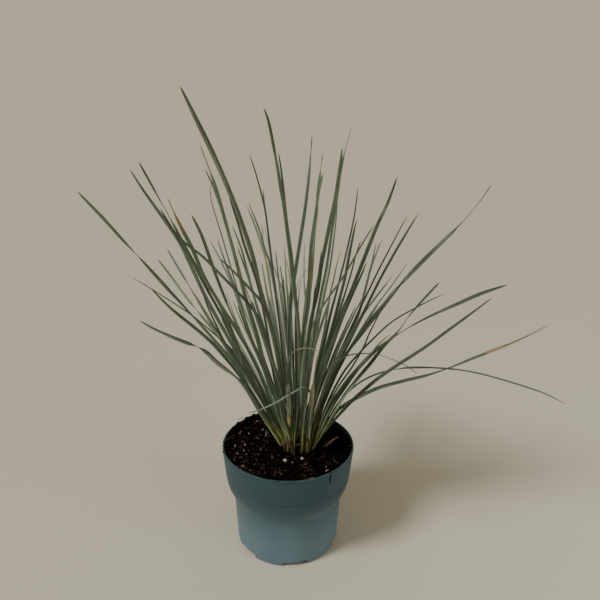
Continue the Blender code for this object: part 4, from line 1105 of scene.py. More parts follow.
def closest_shares(a0: np.ndarray, a1: np.ndarray, b0: np.ndarray,
                   b1: np.ndarray) -> tuple[np.ndarray, np.ndarray]:
    """How far along each of a pair of straight stretches its closest point to the other is.

    Args:
        a0: Starts of the first stretches, a row each.
        a1: Their ends.
        b0: Starts of the second stretches.
        b1: Their ends.

    Returns:
        The shares along the first and the second stretches.
    """
    run_a = a1 - a0
    run_b = b1 - b0
    apart = a0 - b0
    aa = (run_a * run_a).sum(axis=1)
    bb = (run_b * run_b).sum(axis=1)
    ab = (run_a * run_b).sum(axis=1)
    ac = (run_a * apart).sum(axis=1)
    bc = (run_b * apart).sum(axis=1)
    share_a = np.clip((ab * bc - ac * bb) / np.maximum(aa * bb - ab * ab, 1e-12), 0.0, 1.0)
    share_b = np.clip((ab * share_a + bc) / bb, 0.0, 1.0)
    share_a = np.clip((ab * share_b - ac) / aa, 0.0, 1.0)
    return share_a, share_b


@dataclass(frozen=True)
class Parting:
    """Moves leaves apart where they would touch."""

    rounds: int = 500  # Most rounds of moves
    gap: float = 0.0004  # Gap to leave between two leaves
    share: float = 0.55  # Share of what is short that a round moves
    aside: float = 0.5  # Share of a move that may go across the view
    spread: float = 0.3  # Share of a move that the next stations take
    reach: float = 0.003  # How far a root may move along each axis
    joined: float = 0.0  # Length from the root along which leaves of a shoot may touch
    fresh: int = 10  # Rounds between searches for neighbours
    near: float = 0.01  # Distance up to which stretches are neighbours
    sheath_length: float = 0.024  # Length of the sheaths
    sheath_radius: float = 0.0016  # Their radius at the soil
    keel: float = 0.28  # Depth of a leaf's fold as a share of its width
    blade: float = 0.0003  # Thickness of a leaf

    def room(self, width: float, s: float) -> float:
        """Room that a leaf needs on each side of its centre line."""
        return max(0.5 * width, self.keel * width + self.blade) * width_share(s)

    def part(self, lines: Sequence[Line], widths: Sequence[float],
             owners: Sequence[int]) -> list[list[Vector]]:
        """Move the stations of the lines until the leaves are clear of each other.

        Args:
            lines: Stations of each leaf's centre line, root first.
            widths: Full width of each leaf.
            owners: Which shoot each leaf belongs to.

        Returns:
            The moved stations.
        """
        points = np.array([tuple(point) for line in lines for point in line])
        leaf_of = np.repeat(np.arange(len(lines)), [len(line) for line in lines])
        owner_of = np.array(owners)[leaf_of]
        rooms = np.array([self.room(width, i / (len(line) - 1))
                          for line, width in zip(lines, widths) for i in range(len(line))])
        from_root = np.concatenate([lengths_along(line) for line in lines])
        is_root = from_root == 0.0
        is_low = from_root <= self.joined
        low = np.flatnonzero(leaf_of[:-1] == leaf_of[1:])
        one, two = np.triu_indices(len(low), 1)
        sisters = owner_of[low[one]] == owner_of[low[two]]
        touching = is_low[low[one]] | is_low[low[two]] | (leaf_of[low[one]] == leaf_of[low[two]])
        apart = ~(sisters & touching)
        one = one[apart]
        two = two[apart]
        eye = np.array(VIEW.eye)
        homes = points[is_root, :2].copy()
        for turn in range(self.rounds):
            if turn % self.fresh == 0:
                middles = 0.5 * (points[low] + points[low + 1])
                halves = 0.5 * row_lengths(points[low + 1] - points[low])
                near = row_lengths(middles[one] - middles[two]) < halves[one] + halves[two] + self.near
                a = low[one[near]]
                b = low[two[near]]
            share_a, share_b = closest_shares(points[a], points[a + 1], points[b], points[b + 1])
            spot_a = points[a] + (points[a + 1] - points[a]) * share_a[:, None]
            spot_b = points[b] + (points[b + 1] - points[b]) * share_b[:, None]
            need = np.full(len(a), self.gap)
            for ends, share, spot in ((a, share_a, spot_a), (b, share_b, spot_b)):
                room = rooms[ends] * (1.0 - share) + rooms[ends + 1] * share
                sheathed = spot[:, 2] < SOIL_LEVEL + self.sheath_length
                need += np.where(sheathed, np.maximum(room, self.sheath_radius), room)
            gap = spot_a - spot_b
            distance = np.maximum(row_lengths(gap), 1e-6)
            short = distance < need
            if not short.any():
                break
            look = spot_a - eye
            look /= row_lengths(look)[:, None]
            along = (gap * look).sum(axis=1)[:, None] * look
            push = along + self.aside * (gap - along)
            push *= (self.share * (need - distance) / distance)[:, None]
            forth = np.zeros((len(points), 3))
            back = np.zeros((len(points), 3))
            for ends, share, move in ((a, share_a, push), (b, share_b, -push)):
                for station, part in ((ends, 1.0 - share), (ends + 1, share)):
                    np.maximum.at(forth, station[short], (move * part[:, None])[short])
                    np.minimum.at(back, station[short], (move * part[:, None])[short])
            moves = forth + back
            spread = np.zeros((len(points), 3))
            spread[low] += self.spread * moves[low + 1]
            spread[low + 1] += self.spread * moves[low]
            moves = np.where(moves == 0.0, spread, moves)
            aside = np.zeros((owner_of.max() + 1, 2))
            np.add.at(aside, owner_of[is_root], moves[is_root, :2])
            moves[is_root] = 0.0
            points += moves
            points[is_root, :2] = np.clip(points[is_root, :2] + aside[owner_of[is_root]],
                                          homes - self.reach, homes + self.reach)
        rows = iter(points)
        return [[Vector(next(rows)) for _ in line] for line in lines]


@dataclass(frozen=True)
class Pot:
    """The turned nursery pot."""

    # Radius and height of the outer profile, from the rim to the foot
    outer: tuple[Pair, ...] = (
        (0.0692, 0.112), (0.069, 0.107), (0.0679, 0.096), (0.0664, 0.0815), (0.0649, 0.072),
        (0.0631, 0.0669), (0.0583, 0.0574), (0.0574, 0.051), (0.0544, 0.0019), (0.053, 0.0),
    )
    # Places on the rounded rim, from the inside out, from the top of the outer profile
    lip: tuple[Pair, ...] = (
        (-0.0017, -0.0011), (-0.0015, -0.0002), (-0.0009, 0.0), (-0.0002, -0.0002), (0.0, -0.0009),
        (0.0001, -0.0022), (-0.0003, -0.003),
    )
    wall: float = 0.0012  # Wall thickness
    floor: float = 0.0016  # Height of the inner floor
    steps: int = 144  # Sides of the turned form
    drains: int = 6  # Number of drain cut-outs in the foot
    drain_size: Triple = (0.01, 0.026, 0.005)  # Depth, width and height of one
    drain_centre: float = 0.056  # Radius at which they are centred
    first_drain: float = radians(-80.0)  # Angle of the first, in radians
    groove_height: float = 0.0815  # Height of the fine groove round the band
    groove: float = 0.0006  # Its depth

    def inner_radius(self, z: float) -> float:
        """Radius of the inner wall at a height.

        Args:
            z: Height over the foot.

        Returns:
            The radius there.
        """
        for (r1, z1), (r0, z0) in zip(self.outer, self.outer[1:]):
            if z0 <= z <= z1 and z0 > 0.0:
                return r0 + (r1 - r0) * (z - z0) / (z1 - z0) - self.wall
        return self.outer[-2][0] - self.wall

    def outer_radius(self, z: float) -> float:
        """Radius of the outer wall at a height."""
        return self.inner_radius(z) + self.wall

    def wall_at(self, pixel: Pixel) -> Vector:
        """Point of the outer wall that the reference view shows at a pixel.

        Args:
            pixel: The pixel.

        Returns:
            The point.
        """
        low = self.groove_height
        high = self.outer[0][1]
        for _ in range(24):
            middle = 0.5 * (low + high)
            place = VIEW.at_height(*pixel, middle)
            if hypot(place.x, place.y) > self.outer_radius(middle):
                high = middle
            else:
                low = middle
        return VIEW.at_height(*pixel, 0.5 * (low + high))

    def rounded(self, corners: Sequence[Pair], reach: float) -> list[Pair]:
        """A profile with its inner corners rounded.

        Args:
            corners: Radius and height of each corner.
            reach: How far from a corner its rounding starts, in metres.

        Returns:
            The corners of the rounded profile.
        """
        line = [Vector(corner) for corner in corners]
        soft = [line[0]]
        for a, b, c in zip(line, line[1:], line[2:]):
            before = min(reach, 0.45 * (b - a).length)
            after = min(reach, 0.45 * (c - b).length)
            one = b + (a - b).normalized() * before
            two = b + (c - b).normalized() * after
            for k in range(5):
                t = k / 4.0
                soft.append(one * (1 - t) ** 2 + b * (2 * t * (1 - t)) + two * t * t)
        soft.append(line[-1])
        return [tuple(corner) for corner in soft]

    def profile(self) -> list[Pair]:
        """The turned profile, from the middle of the inner floor over the rim to the middle of the foot.

        Returns:
            Radius and height of its points.
        """
        level = self.groove_height
        rim, top = self.outer[0]
        groove = [(self.outer_radius(level + up) - depth, level + up)
                  for up, depth in ((0.0007, 0.0), (0.0, self.groove), (-0.0007, 0.0))]
        lip = [(rim + out, top + up) for out, up in self.lip]
        inside = [(self.inner_radius(z), z) for _, z in self.outer[1:-2]]
        floor = [(self.outer[-2][0] - 2 * self.wall, self.floor), (0.0, self.floor)]
        upper = [corner for corner in self.outer[1:] if corner[1] > level + 0.001]
        lower = [corner for corner in self.outer[1:] if corner[1] < level - 0.001]
        inner_line = self.rounded((inside + floor)[::-1], 0.0018)
        outer_line = self.rounded(upper + groove, 0.0004) + self.rounded([groove[-1]] + lower, 0.003)[1:]
        return inner_line + lip + outer_line + [(0.0, 0.0)]

    def build(self, finish: Finish) -> None:
        """Turn the pot, cut its drains and dress it.

        Args:
            finish: The plastic material.
        """
        mesh = bpy.data.meshes.new("pot_turned")
        points = [(r, 0.0, z) for r, z in self.profile()]
        mesh.from_pydata(points, [(i, i + 1) for i in range(len(points) - 1)], [])
        blank = added("pot_blank", mesh)
        turn = blank.modifiers.new("turn", "SCREW")
        turn.axis = "Z"
        turn.steps = turn.render_steps = self.steps
        turn.use_merge_vertices = True
        turn.merge_threshold = 0.00001
        cutters = [self.drain_cutter(number) for number in range(self.drains)]
        for cutter in cutters:
            cut = blank.modifiers.new(cutter.name, "BOOLEAN")
            cut.operation = "DIFFERENCE"
            cut.solver = "EXACT"
            cut.object = cutter
        bpy.context.view_layer.update()
        graph = bpy.context.evaluated_depsgraph_get()
        whole = bpy.data.meshes.new_from_object(blank.evaluated_get(graph))
        for spare in [blank, *cutters]:
            bpy.data.objects.remove(spare)
        whole.shade_smooth()
        whole.set_sharp_from_angle(angle=radians(42.0))
        whole.materials.clear()
        whole.materials.append(finish)
        deliver(added("pot_shell", whole), "pot_plastic", "pot")

    def drain_cutter(self, number: int) -> Piece:
        """The block that cuts one drain into the foot.

        Args:
            number: Which drain, from 0.

        Returns:
            The cutter, turned and in place.
        """
        angle = self.first_drain + 2.0 * pi * number / self.drains
        depth, width, height = self.drain_size
        shape = bmesh.new()
        bmesh.ops.create_cube(shape, size=1.0)
        bmesh.ops.scale(shape, vec=(depth * 2, width, height * 2), verts=shape.verts)
        uprights = [edge for edge in shape.edges
                    if (edge.verts[0].co - edge.verts[1].co).yz.length < 1e-6]
        bmesh.ops.bevel(shape, geom=uprights, offset=0.0022, segments=4, affect="EDGES", profile=0.5)
        box = bpy.data.meshes.new(f"drain_{number + 1}")
        shape.to_mesh(box)
        shape.free()
        cutter = added(f"drain_{number + 1}", box)
        cutter.location = (*around(self.drain_centre, angle), 0.0)
        cutter.rotation_euler.z = angle
        return cutter


@dataclass(frozen=True)
class PottingSoil:
    """The plug of peaty soil and the loose bits on it."""

    pot: Pot  # The pot that holds it
    roughness: float = 0.0016  # Height of its lumps
    heap: float = 0.0042  # How much higher it lies on the heaped side
    heap_side: Pair = (-0.75, 0.66)  # Direction of that side
    lumps: float = 90.0  # Lumps per metre
    clods: float = 210.0  # Finer lumps per metre
    crown_flat: float = 0.0265  # Radius round the tuft that stays flat
    crown_fade: float = 0.012  # Width over which lumps begin there
    edge_fade: float = 0.004  # The same at the wall
    edge_share: float = 0.35  # Share of their height at the wall
    wall_gap: float = 0.00015  # Gap between surface and wall
    rings: int = 110  # Rings of the fine surface
    segments: int = 400  # Its sectors
    crumbs: int = 1100  # Number of loose crumbs
    grains: int = 2600  # Number of small ones
    chips: int = 260  # Number of bark chips
    fibres: int = 90  # Number of root fibres
    edge_crumbs: int = 130  # Number of crumbs heaped at the wall
    # Column, row and size of each pale granule
    granules: tuple[Triple, ...] = (
        (285.0, 461.5, 0.0021), (302.0, 459.0, 0.0018), (305.5, 464.0, 0.0008), (235.0, 446.0, 0.0007),
        (292.5, 463.0, 0.0007),
    )
    # Column, row, length and bearing of each pale splinter
    splinters: tuple[tuple[float, ...], ...] = (
        (257, 424, 0.004, 0.7), (263, 430, 0.005, 0.9), (245, 445, 0.0036, 1.2), (235, 447, 0.0034, 0.2),
        (327, 470, 0.0042, 0.5), (342, 466, 0.0046, 0.9), (249, 434, 0.004, 2.2), (238, 455, 0.0044, 2.4),
        (244, 450, 0.004, 2.0),
    )
    # Pixels, heights over the soil, radius and colour of each thread
    threads: tuple[tuple[tuple[Pixel, ...], tuple[float, ...], float, Colour], ...] = (
        (((323, 447), (328, 444), (333, 440), (339, 436)), (0.0012, 0.002, 0.0024, 0.0034), 0.001,
         (0.21, 0.12, 0.084)),
        (((324, 443), (329, 441.5), (333, 439), (338, 438)), (0.001, 0.0016, 0.0018, 0.0016), 0.0006,
         (0.17, 0.1, 0.07)),
        (((264, 437), (266, 435), (269, 432)), (0.0016, 0.004, 0.0062), 0.00022, (0.42, 0.36, 0.29)),
        (((238, 422), (240, 418.5), (243, 417.5), (244, 421)), (0.0068, 0.0085, 0.009, 0.007), 0.00045,
         (0.2, 0.12, 0.075)),
        (((240, 424), (242, 421), (246, 422)), (0.0062, 0.0075, 0.0068), 0.0004, (0.17, 0.1, 0.065)),
        (((222, 441.5), (226, 440), (231, 437), (236, 434.5)), (0.007, 0.0072, 0.0064, 0.0052), 0.00065,
         (0.045, 0.026, 0.019)),
        (((318, 482), (314, 478), (307, 479)), (0.0014, 0.002, 0.0016), 0.00035, (0.22, 0.12, 0.085)),
    )
    # Pixels of the smear on the rim
    smear: tuple[Pixel, ...] = ((331, 475), (330.4, 477), (330, 480), (330.2, 484))
    # Its radii
    smear_radii: tuple[float, ...] = (
        0.0011, 0.001, 0.0009, 0.0009, 0.001, 0.001, 0.0009, 0.0007, 0.0005, 0.0003,
    )
    seed: int = 11  # Seed of what is strewn

    def top(self) -> float:
        """Radius of the surface."""
        return self.pot.inner_radius(SOIL_LEVEL) - self.wall_gap

    def height(self, x: float, y: float) -> float:
        """Height of the surface, as the solid has it.

        Args:
            x: Place along X.
            y: Place along Y.

        Returns:
            The height over the pot's foot.
        """
        place = Vector((x, y, 0.0))
        rough = noise.noise(place * self.lumps) + 0.6 * noise.noise(place * self.clods)
        side = Vector(self.heap_side).normalized()
        toward = max(0.0, Vector((x, y)).dot(side) / self.pot.inner_radius(SOIL_LEVEL))
        height = self.roughness * rough + self.heap * toward * toward
        from_crown = (Vector((x, y)) - Vector(CROWN)).length
        fade = min(1.0, max(0.0, (from_crown - self.crown_flat) / self.crown_fade))
        from_wall = self.pot.inner_radius(SOIL_LEVEL) - hypot(x, y)
        return SOIL_LEVEL + height * fade * min(1.0, from_wall / self.edge_fade + self.edge_share)

    def fine_height(self, x: float, y: float) -> float:
        """Height of the surface with its small clods and pits.

        Args:
            x: Place along X.
            y: Place along Y.

        Returns:
            The height over the pot's foot.
        """
        place = Vector((x, y, 0.0))
        from_crown = (Vector((x, y)) - Vector(CROWN)).length
        free = 0.35 + 0.65 * smooth((from_crown - 0.012) / 0.01)
        clods = noise.fractal(place * 260.0, 1.0, 2.1, 4)
        lumps = 0.5 - min(1.0, noise.voronoi(place * 185.0)[0][0])
        bits = 0.5 - min(1.0, noise.voronoi(place * 430.0)[0][0])
        return self.height(x, y) + free * (0.0009 * clods + 0.0026 * lumps + 0.0011 * bits)

    def on_surface(self, x: float, y: float, lift: float = 0.0) -> Vector:
        """The place at x and y on the fine surface, or lifted off it."""
        return Vector((x, y, self.fine_height(x, y) + lift))

    def build(self) -> None:
        """Build the plug and what lies on it."""
        grains = CrumbFinish("soil_crumbs").material()
        bark = CrumbFinish("bark_and_fibre", 500.0, 0.35, 0.16).material()
        draw = random.Random(self.seed)
        deliver(self.plug(PeatFinish().material()), "soil", "soil")
        deliver(self.strewn_crumbs(draw).object("soil_crumbs", grains), "soil")
        deliver(self.strewn_chips(draw).object("bark_chips", bark), "soil")
        deliver(self.strewn_fibres(draw).object("soil_fibres", bark), "soil")

    def plug(self, finish: Finish) -> Piece:
        """The closed body of soil, finely uneven on top.

        Args:
            finish: The peat material.

        Returns:
            Its piece.
        """
        black = (0.0, 0.0, 0.0)
        shape = Shape()
        middle = shape.point(self.on_surface(0.0, 0.0), black)
        foot = self.pot.outer[-2][0] - self.pot.drain_size[0] - self.pot.wall
        rows = [(self.top() * (ring / self.rings) ** 0.85, None) for ring in range(1, self.rings + 1)]
        rows += [(self.pot.inner_radius(z) - 0.0003, z) for z in (0.098, 0.072, 0.0574, 0.051)]
        rows.append((foot, self.pot.floor + 0.0003))
        rings = []
        for radius, z in rows:
            corners = [around(radius, 2.0 * pi * k / self.segments) for k in range(self.segments)]
            rings.append([shape.point(self.on_surface(x, y) if z is None else Vector((x, y, z)), black)
                          for x, y in corners])
        for k in range(self.segments):
            j = (k + 1) % self.segments
            shape.faces.append((middle, rings[0][k], rings[0][j]))
            for upper, under in zip(rings, rings[1:]):
                shape.faces.append((upper[k], under[k], under[j], upper[j]))
        shape.faces.append(tuple(reversed(rings[-1])))
        return shape.object("soil_plug", finish)

    def spot(self, draw: random.Random, inner: float) -> Vector:
        """A place on the surface, more of them near the wall.

        Args:
            draw: Source of the random draws.
            inner: Radius round the crown that stays free.

        Returns:
            The place, on the surface.
        """
        while True:
            radius = self.top() * sqrt(draw.random()) * 0.985
            x, y = around(radius, draw.uniform(0.0, 2.0 * pi))
            if hypot(x - CROWN[0], y - CROWN[1]) >= inner:
                return self.on_surface(x, y)

    def strewn_crumbs(self, draw: random.Random) -> Shape:
        """Crumbs of peat, with a few pale granules.

        Args:
            draw: Random numbers for them.

        Returns:
            Their shape.
        """
        shape = Shape()
        for number in range(self.crumbs + self.grains):
            small = number >= self.crumbs
            size = (0.00036 if small else 0.0008) * exp(draw.gauss(0.0, 0.4))
            place = self.spot(draw, 0.006)
            tint = mixed((0.0011, 0.0008, 0.0007), (0.02, 0.0115, 0.0085), draw.random() ** 5)
            turn = draw.uniform(0.0, 6.3)
            axis = Vector((draw.gauss(0, 1), draw.gauss(0, 1), 1.0))
            size = min(size, 0.0026)
            shape.lump(place + Vector((0.0, 0.0, 0.45 * size)),
                       Vector((size * draw.uniform(1.0, 1.8), size, size * draw.uniform(0.6, 1.0))),
                       Matrix.Rotation(turn, 3, axis), tint, 0.37 * number, 0.8, small)
        heaped = atan2(self.heap_side[1], self.heap_side[0])
        for number in range(self.edge_crumbs):
            angle = heaped + draw.gauss(0.15, 0.42)
            x, y = around(self.top() - draw.uniform(0.0004, 0.006), angle)
            size = draw.uniform(0.0012, 0.0026)
            place = self.on_surface(x, y, draw.uniform(0.0, 0.0034))
            shape.lump(place, Vector((size * 1.3, size, size * 0.8)),
                       Matrix.Rotation(draw.uniform(0.0, 6.3), 3, "Z"), (0.0017, 0.0013, 0.001),
                       0.51 * number, 0.8)
        for u, v, size in self.granules:
            seen = VIEW.at_height(u, v, SOIL_LEVEL + 0.0006)
            shape.lump(self.on_surface(seen.x, seen.y, 0.5 * size), Vector((size, size * 0.85, size * 0.8)),
                       Matrix.Identity(3), (0.25, 0.235, 0.21), u, 0.5)
        return shape

    def chip(self, shape: Shape, place: Vector, length: float, width: float, thick: float,
             angle: float, lean: float, tint: Colour, draw: random.Random) -> None:
        """Add one splintery chip of bark.

        Args:
            shape: The mesh to add it to.
            place: Its middle.
            length: Its length.
            width: Its width.
            thick: Its thickness.
            angle: Which way it points, in radians.
            lean: How far it tips up, in radians.
            tint: Its colour.
            draw: Source of the random draws.
        """
        ahead = Vector((*around(cos(lean), angle), sin(lean)))
        side = ahead.cross(Vector((0.0, 0.0, 1.0))).normalized()
        over = side.cross(ahead)
        rings = []
        for k, share in enumerate((0.35, 0.95, 1.0, 0.8, 0.3)):
            centre = place + ahead * (length * (k / 4.0 - 0.5))
            centre += side * draw.gauss(0.0, 0.06 * width) + over * draw.gauss(0.0, 0.1 * thick)
            ring = []
            for corner in range(6):
                turn = 2.0 * pi * corner / 6
                reach = 0.5 * share * draw.uniform(0.75, 1.2)
                away = side * (cos(turn) * width * reach) + over * (sin(turn) * thick * reach)
                ring.append(shape.point(centre + away, scaled(tint, draw.uniform(0.7, 1.3))))
            rings.append(ring)
        shape.skin(rings)

    def strewn_chips(self, draw: random.Random) -> Shape:
        """Reddish bark chips, most of them on the left.

        Args:
            draw: Random numbers for them.

        Returns:
            Their shape.
        """
        shape = Shape()
        made = 0
        while made < self.chips:
            place = self.spot(draw, 0.017)
            leftness = 0.5 - 0.5 * place.x / self.top()
            if draw.random() > 0.04 + 0.96 * leftness ** 2.2:
                continue
            made += 1
            length = min(0.01, 0.0036 * exp(draw.gauss(0.0, 0.45)))
            width = length * draw.uniform(0.18, 0.5)
            tone = draw.random()
            tint = mixed((0.008, 0.004, 0.003), (0.125, 0.063, 0.048), tone ** 2.8)
            if tone > 0.975:
                tint = (0.19, 0.125, 0.095)
            place.z += 0.0009
            self.chip(shape, place, length, width, width * draw.uniform(0.3, 0.6),
                      draw.uniform(0.0, pi), draw.gauss(0.0, 0.38), tint, draw)
        for u, v, length, angle in self.splinters:
            seen = VIEW.at_height(u, v, SOIL_LEVEL + 0.0015)
            radius = min(hypot(seen.x, seen.y), self.top() - 0.003)
            place = self.on_surface(*around(radius, atan2(seen.y, seen.x)), 0.0011)
            self.chip(shape, place, length, 0.0013, 0.0007, angle, 0.25, (0.22, 0.17, 0.145), draw)
        return shape

    def lay(self, shape: Shape, pixels: Sequence[Pixel], lift: Sequence[float], radius: float,
            tint: Colour) -> None:
        """Lay a thread or splinter on the soil along pixels of the reference view.

        Args:
            shape: The mesh to add it to.
            pixels: Pixels of its line.
            lift: Its height over the soil's level at each of them, in metres.
            radius: Its thickest radius.
            tint: Its colour.
        """
        points = [VIEW.at_height(u, v, SOIL_LEVEL + high) for (u, v), high in zip(pixels, lift)]
        radii = [radius * (0.35 + 0.65 * sin(pi * min(0.97, max(0.03, i / 13.0)))) for i in range(14)]
        tints = [scaled(tint, 0.8 + 0.2 * (i % 3)) for i in range(14)]
        shape.tube(smooth_line(points, 14), radii, tints, 6, 0.7)

    def strewn_fibres(self, draw: random.Random) -> Shape:
        """Root fibres, straws and splinters.

        Args:
            draw: Random numbers for them.

        Returns:
            Their shape.
        """
        shape = Shape()
        for _ in range(self.fibres):
            place = self.spot(draw, 0.014)
            angle = draw.uniform(0.0, 2.0 * pi)
            length = draw.uniform(0.005, 0.016)
            bend = draw.gauss(0.0, 0.9)
            points = []
            for k in range(5):
                points.append(place.copy())
                place = place + Vector((cos(angle), sin(angle), 0.0)) * (length / 4)
                angle += bend / 4
                radius = hypot(place.x, place.y)
                if radius > self.top() - 0.001:
                    place = place * ((self.top() - 0.001) / radius)
                place.z = self.fine_height(place.x, place.y) + draw.uniform(0.0004, 0.0016)
            line = smooth_line(points, 12)
            thick = draw.uniform(0.0001, 0.00024)
            tint = mixed((0.014, 0.007, 0.005), (0.17, 0.1, 0.065), draw.random() ** 3)
            shape.tube(line, [thick * (1.0 - 0.05 * i) for i in range(12)], [tint] * 12, 4)
        for thread in self.threads:
            self.lay(shape, *thread)
        smear = smooth_line([self.pot.wall_at(pixel) for pixel in self.smear], len(self.smear_radii))
        shape.tube(smear, self.smear_radii, [(0.003, 0.0022, 0.0018)] * len(smear), 6, 0.7)
        return shape


@dataclass(frozen=True)
class Tuft:
    """All shoots of the plant, each with its leaves and their sheath."""

    crown_pixel: Pixel = (298.0, 452.0)  # Pixel that shows the crown's middle
    crown_radius: float = 0.021  # Radius within which shoots first stand
    crown_spacing: float = 0.0052  # Least distance between two
    crown_rounds: int = 300  # Rounds in which they are set apart
    crown_pull: float = 0.01  # How strongly each round draws them in
    crown_depth: float = 0.2  # Depth of a tip that leans a shoot fully back
    low_row: float = 405.0  # Row at which a leaf's lean is read
    leaf_start: float = 0.0015  # Height over the soil of a first leaf's start
    leaf_step: float = 0.0007  # How much higher each further leaf starts
    arch: float = 1.35  # How late a leaf goes to its depth
    keel: float = 0.34  # Depth of a leaf's fold as a share of its width
    thickness: float = 0.0003  # Thickness of a leaf at its midrib
    section_step: float = 0.0032  # Length between two sections
    buried: float = 0.003  # How far a leaf goes on under the soil
    sheath_length: float = 0.024  # Usual length of a sheath
    sheath_width: float = 0.0034  # Its width at the soil
    sheath_rings: int = 14  # Number of its sections
    cleft: float = 0.0095  # X at which the crown's two clumps part
    cleft_move: float = 0.0022  # How far a foot there is moved aside
    cleft_reach: float = 0.0065  # Distance over which that fades out
    gather_length: float = 0.05  # Length of a leaf over which it fades out
    steepest: float = 0.6  # Most that a foot leans as it goes into the soil
    dark: Colour = (0.023, 0.039, 0.0235)  # Colour of the darkest leaves
    light: Colour = (0.1, 0.138, 0.1)  # Colour of the lightest
    inner_gain: Colour = (1.14, 1.1, 1.0)  # How much lighter they are inside the tuft
    outer_gain: Colour = (0.96, 0.885, 0.85)  # The same for free ends
    inner_light_gain: Pair = (1.14, 2.05)  # Gains inside the tuft for leaves that lean left and right: painted light, most on the shaded inner right
    outer_light_gain: Pair = (1.32, 0.6)  # The same for free ends: painted light on those that lean left, painted shade on those that lean right
    aside: float = -0.6  # Move of the leaves across the reference view, in pixels
    far_parting: Parting = Parting()  # Parts leaves at the few stations of their solids
    # The same at more stations, where a shoot's leaves stay joined in the sheath
    near_parting: Parting = Parting(rounds=90, gap=0.0002, reach=0.0006, near=0.006, joined=0.075)
    near_stations: int = 22  # Number of those
    shifts: int = 48  # Places along a leaf at which its whole move is kept
    seed: int = 5  # Seed of the leaves' small differences

    def places(self) -> list[Vector]:
        """Where each shoot leaves the soil: toward the side it leans to, and clear of its neighbours.

        Returns:
            A point for each shoot.
        """
        leans = []
        for leaves in SHOOTS:
            total = Vector((0.0, 0.0))
            for blade in leaves:
                u, v = min(blade.path, key=lambda pixel: abs(pixel[1] - self.low_row))
                aside = (u - self.crown_pixel[0]) / (self.crown_pixel[1] - v)
                total += Vector((aside, blade.depth / self.crown_depth))
            leans.append(total / len(leaves))
        widest = max(lean.length for lean in leans)
        places = [lean * (self.crown_radius / widest) for lean in leans]
        for _ in range(self.crown_rounds):
            moves = [-place * self.crown_pull for place in places]
            for i, one in enumerate(places):
                for j, other in enumerate(places[:i]):
                    gap = one - other
                    short = self.crown_spacing - gap.length
                    if short > 0.0:
                        push = gap.normalized() * (0.5 * short)
                        moves[i] += push
                        moves[j] -= push
            places = [place + move for place, move in zip(places, moves)]
        return [Vector(CROWN) + place for place in places]

    def traced_line(self, blade: Leaf, root: Vector, start: float) -> list[Vector]:
        """A leaf's smooth centre line as traced, root first.

        Args:
            blade: The leaf.
            root: Where its shoot leaves the soil.
            start: Height over the soil at which it starts.

        Returns:
            Points at even lengths.
        """
        base = Vector((root.x, root.y, SOIL_LEVEL + start))
        pixels = [VIEW.pixel_of(base), *reversed(blade.path)]
        along = pixels_along(pixels)
        points = [base]
        for (u, v), length in zip(pixels[1:], along[1:]):
            share = (length / along[-1]) ** self.arch
            points.append(VIEW.at_depth(u, v, root.y + (blade.depth - root.y) * share))
        return smooth_line(points, 96)

    def station_count(self, fine: Line) -> int:
        """How many stations the leaf's solid has, more of them on a long or bent leaf.

        Args:
            fine: Close points along the leaf.

        Returns:
            The number of stations.
        """
        length = lengths_along(fine)[-1]
        coarse = even(fine, 20)
        bend = sum((b - a).angle(c - b) for a, b, c in zip(coarse, coarse[1:], coarse[2:]))
        return 4 + int(length / 0.12) + int(bend / radians(20.0))

    def routes(self) -> list[list[Vector]]:
        """Centre lines of all leaves, clear of each other, with many points.

        Returns:
            The points of each line.
        """
        places = self.places()
        leaves = [(number, k, blade) for number, rows in enumerate(SHOOTS) for k, blade in enumerate(rows)]
        owners = [number for number, _, _ in leaves]
        widths = [blade.width for _, _, blade in leaves]
        fines = [self.traced_line(blade, places[number], self.leaf_start + self.leaf_step * k)
                 for number, k, blade in leaves]
        shifts = [[Vector((0.0, 0.0, 0.0))] * 2 for _ in fines]
        for parting, counts in ((self.far_parting, [self.station_count(fine) for fine in fines]),
                                (self.near_parting, [self.near_stations] * len(fines))):
            before = [self.shifted(*leaf_shift) for leaf_shift in zip(fines, shifts, counts)]
            after = parting.part(before, widths, owners)
            gained = [[b - a for a, b in zip(old, new)] for old, new in zip(before, after)]
            marks = [i / (self.shifts - 1) for i in range(self.shifts)]
            shifts = [[between(shift, mark) + between(gain, mark) for mark in marks]
                      for shift, gain in zip(shifts, gained)]
        sections = [min(130, max(26, int(lengths_along(fine)[-1] / self.section_step))) for fine in fines]
        return [self.shifted(*leaf_shift) for leaf_shift in zip(fines, shifts, sections)]

    def shifted(self, fine: Line, shift: Line, count: int) -> list[Vector]:
        """A number of points at even lengths of a line, moved by a smooth shift."""
        return [point + between(shift, i / (count - 1)) for i, point in enumerate(even(fine, count))]

    def build(self, finish: Finish) -> None:
        """Build and dress every shoot.

        Args:
            finish: The leaf material.
        """
        lines = iter(self.routes())
        for number, leaves in enumerate(SHOOTS):
            draw = random.Random(self.seed + 97 * number)
            shape = Shape()
            for k, blade in enumerate(leaves):
                key = (number + 1, k + 1)
                line = self.placed(self.footed(next(lines)), HABITS.get(key, Habit()))
                if k == 0:
                    self.sheath(shape, line, draw)
                self.blade(shape, blade, line, key, draw)
            name = f"shoot_{number + 1:02d}"
            deliver(shape.object(f"{name}_leaves", finish), "leaf", name)

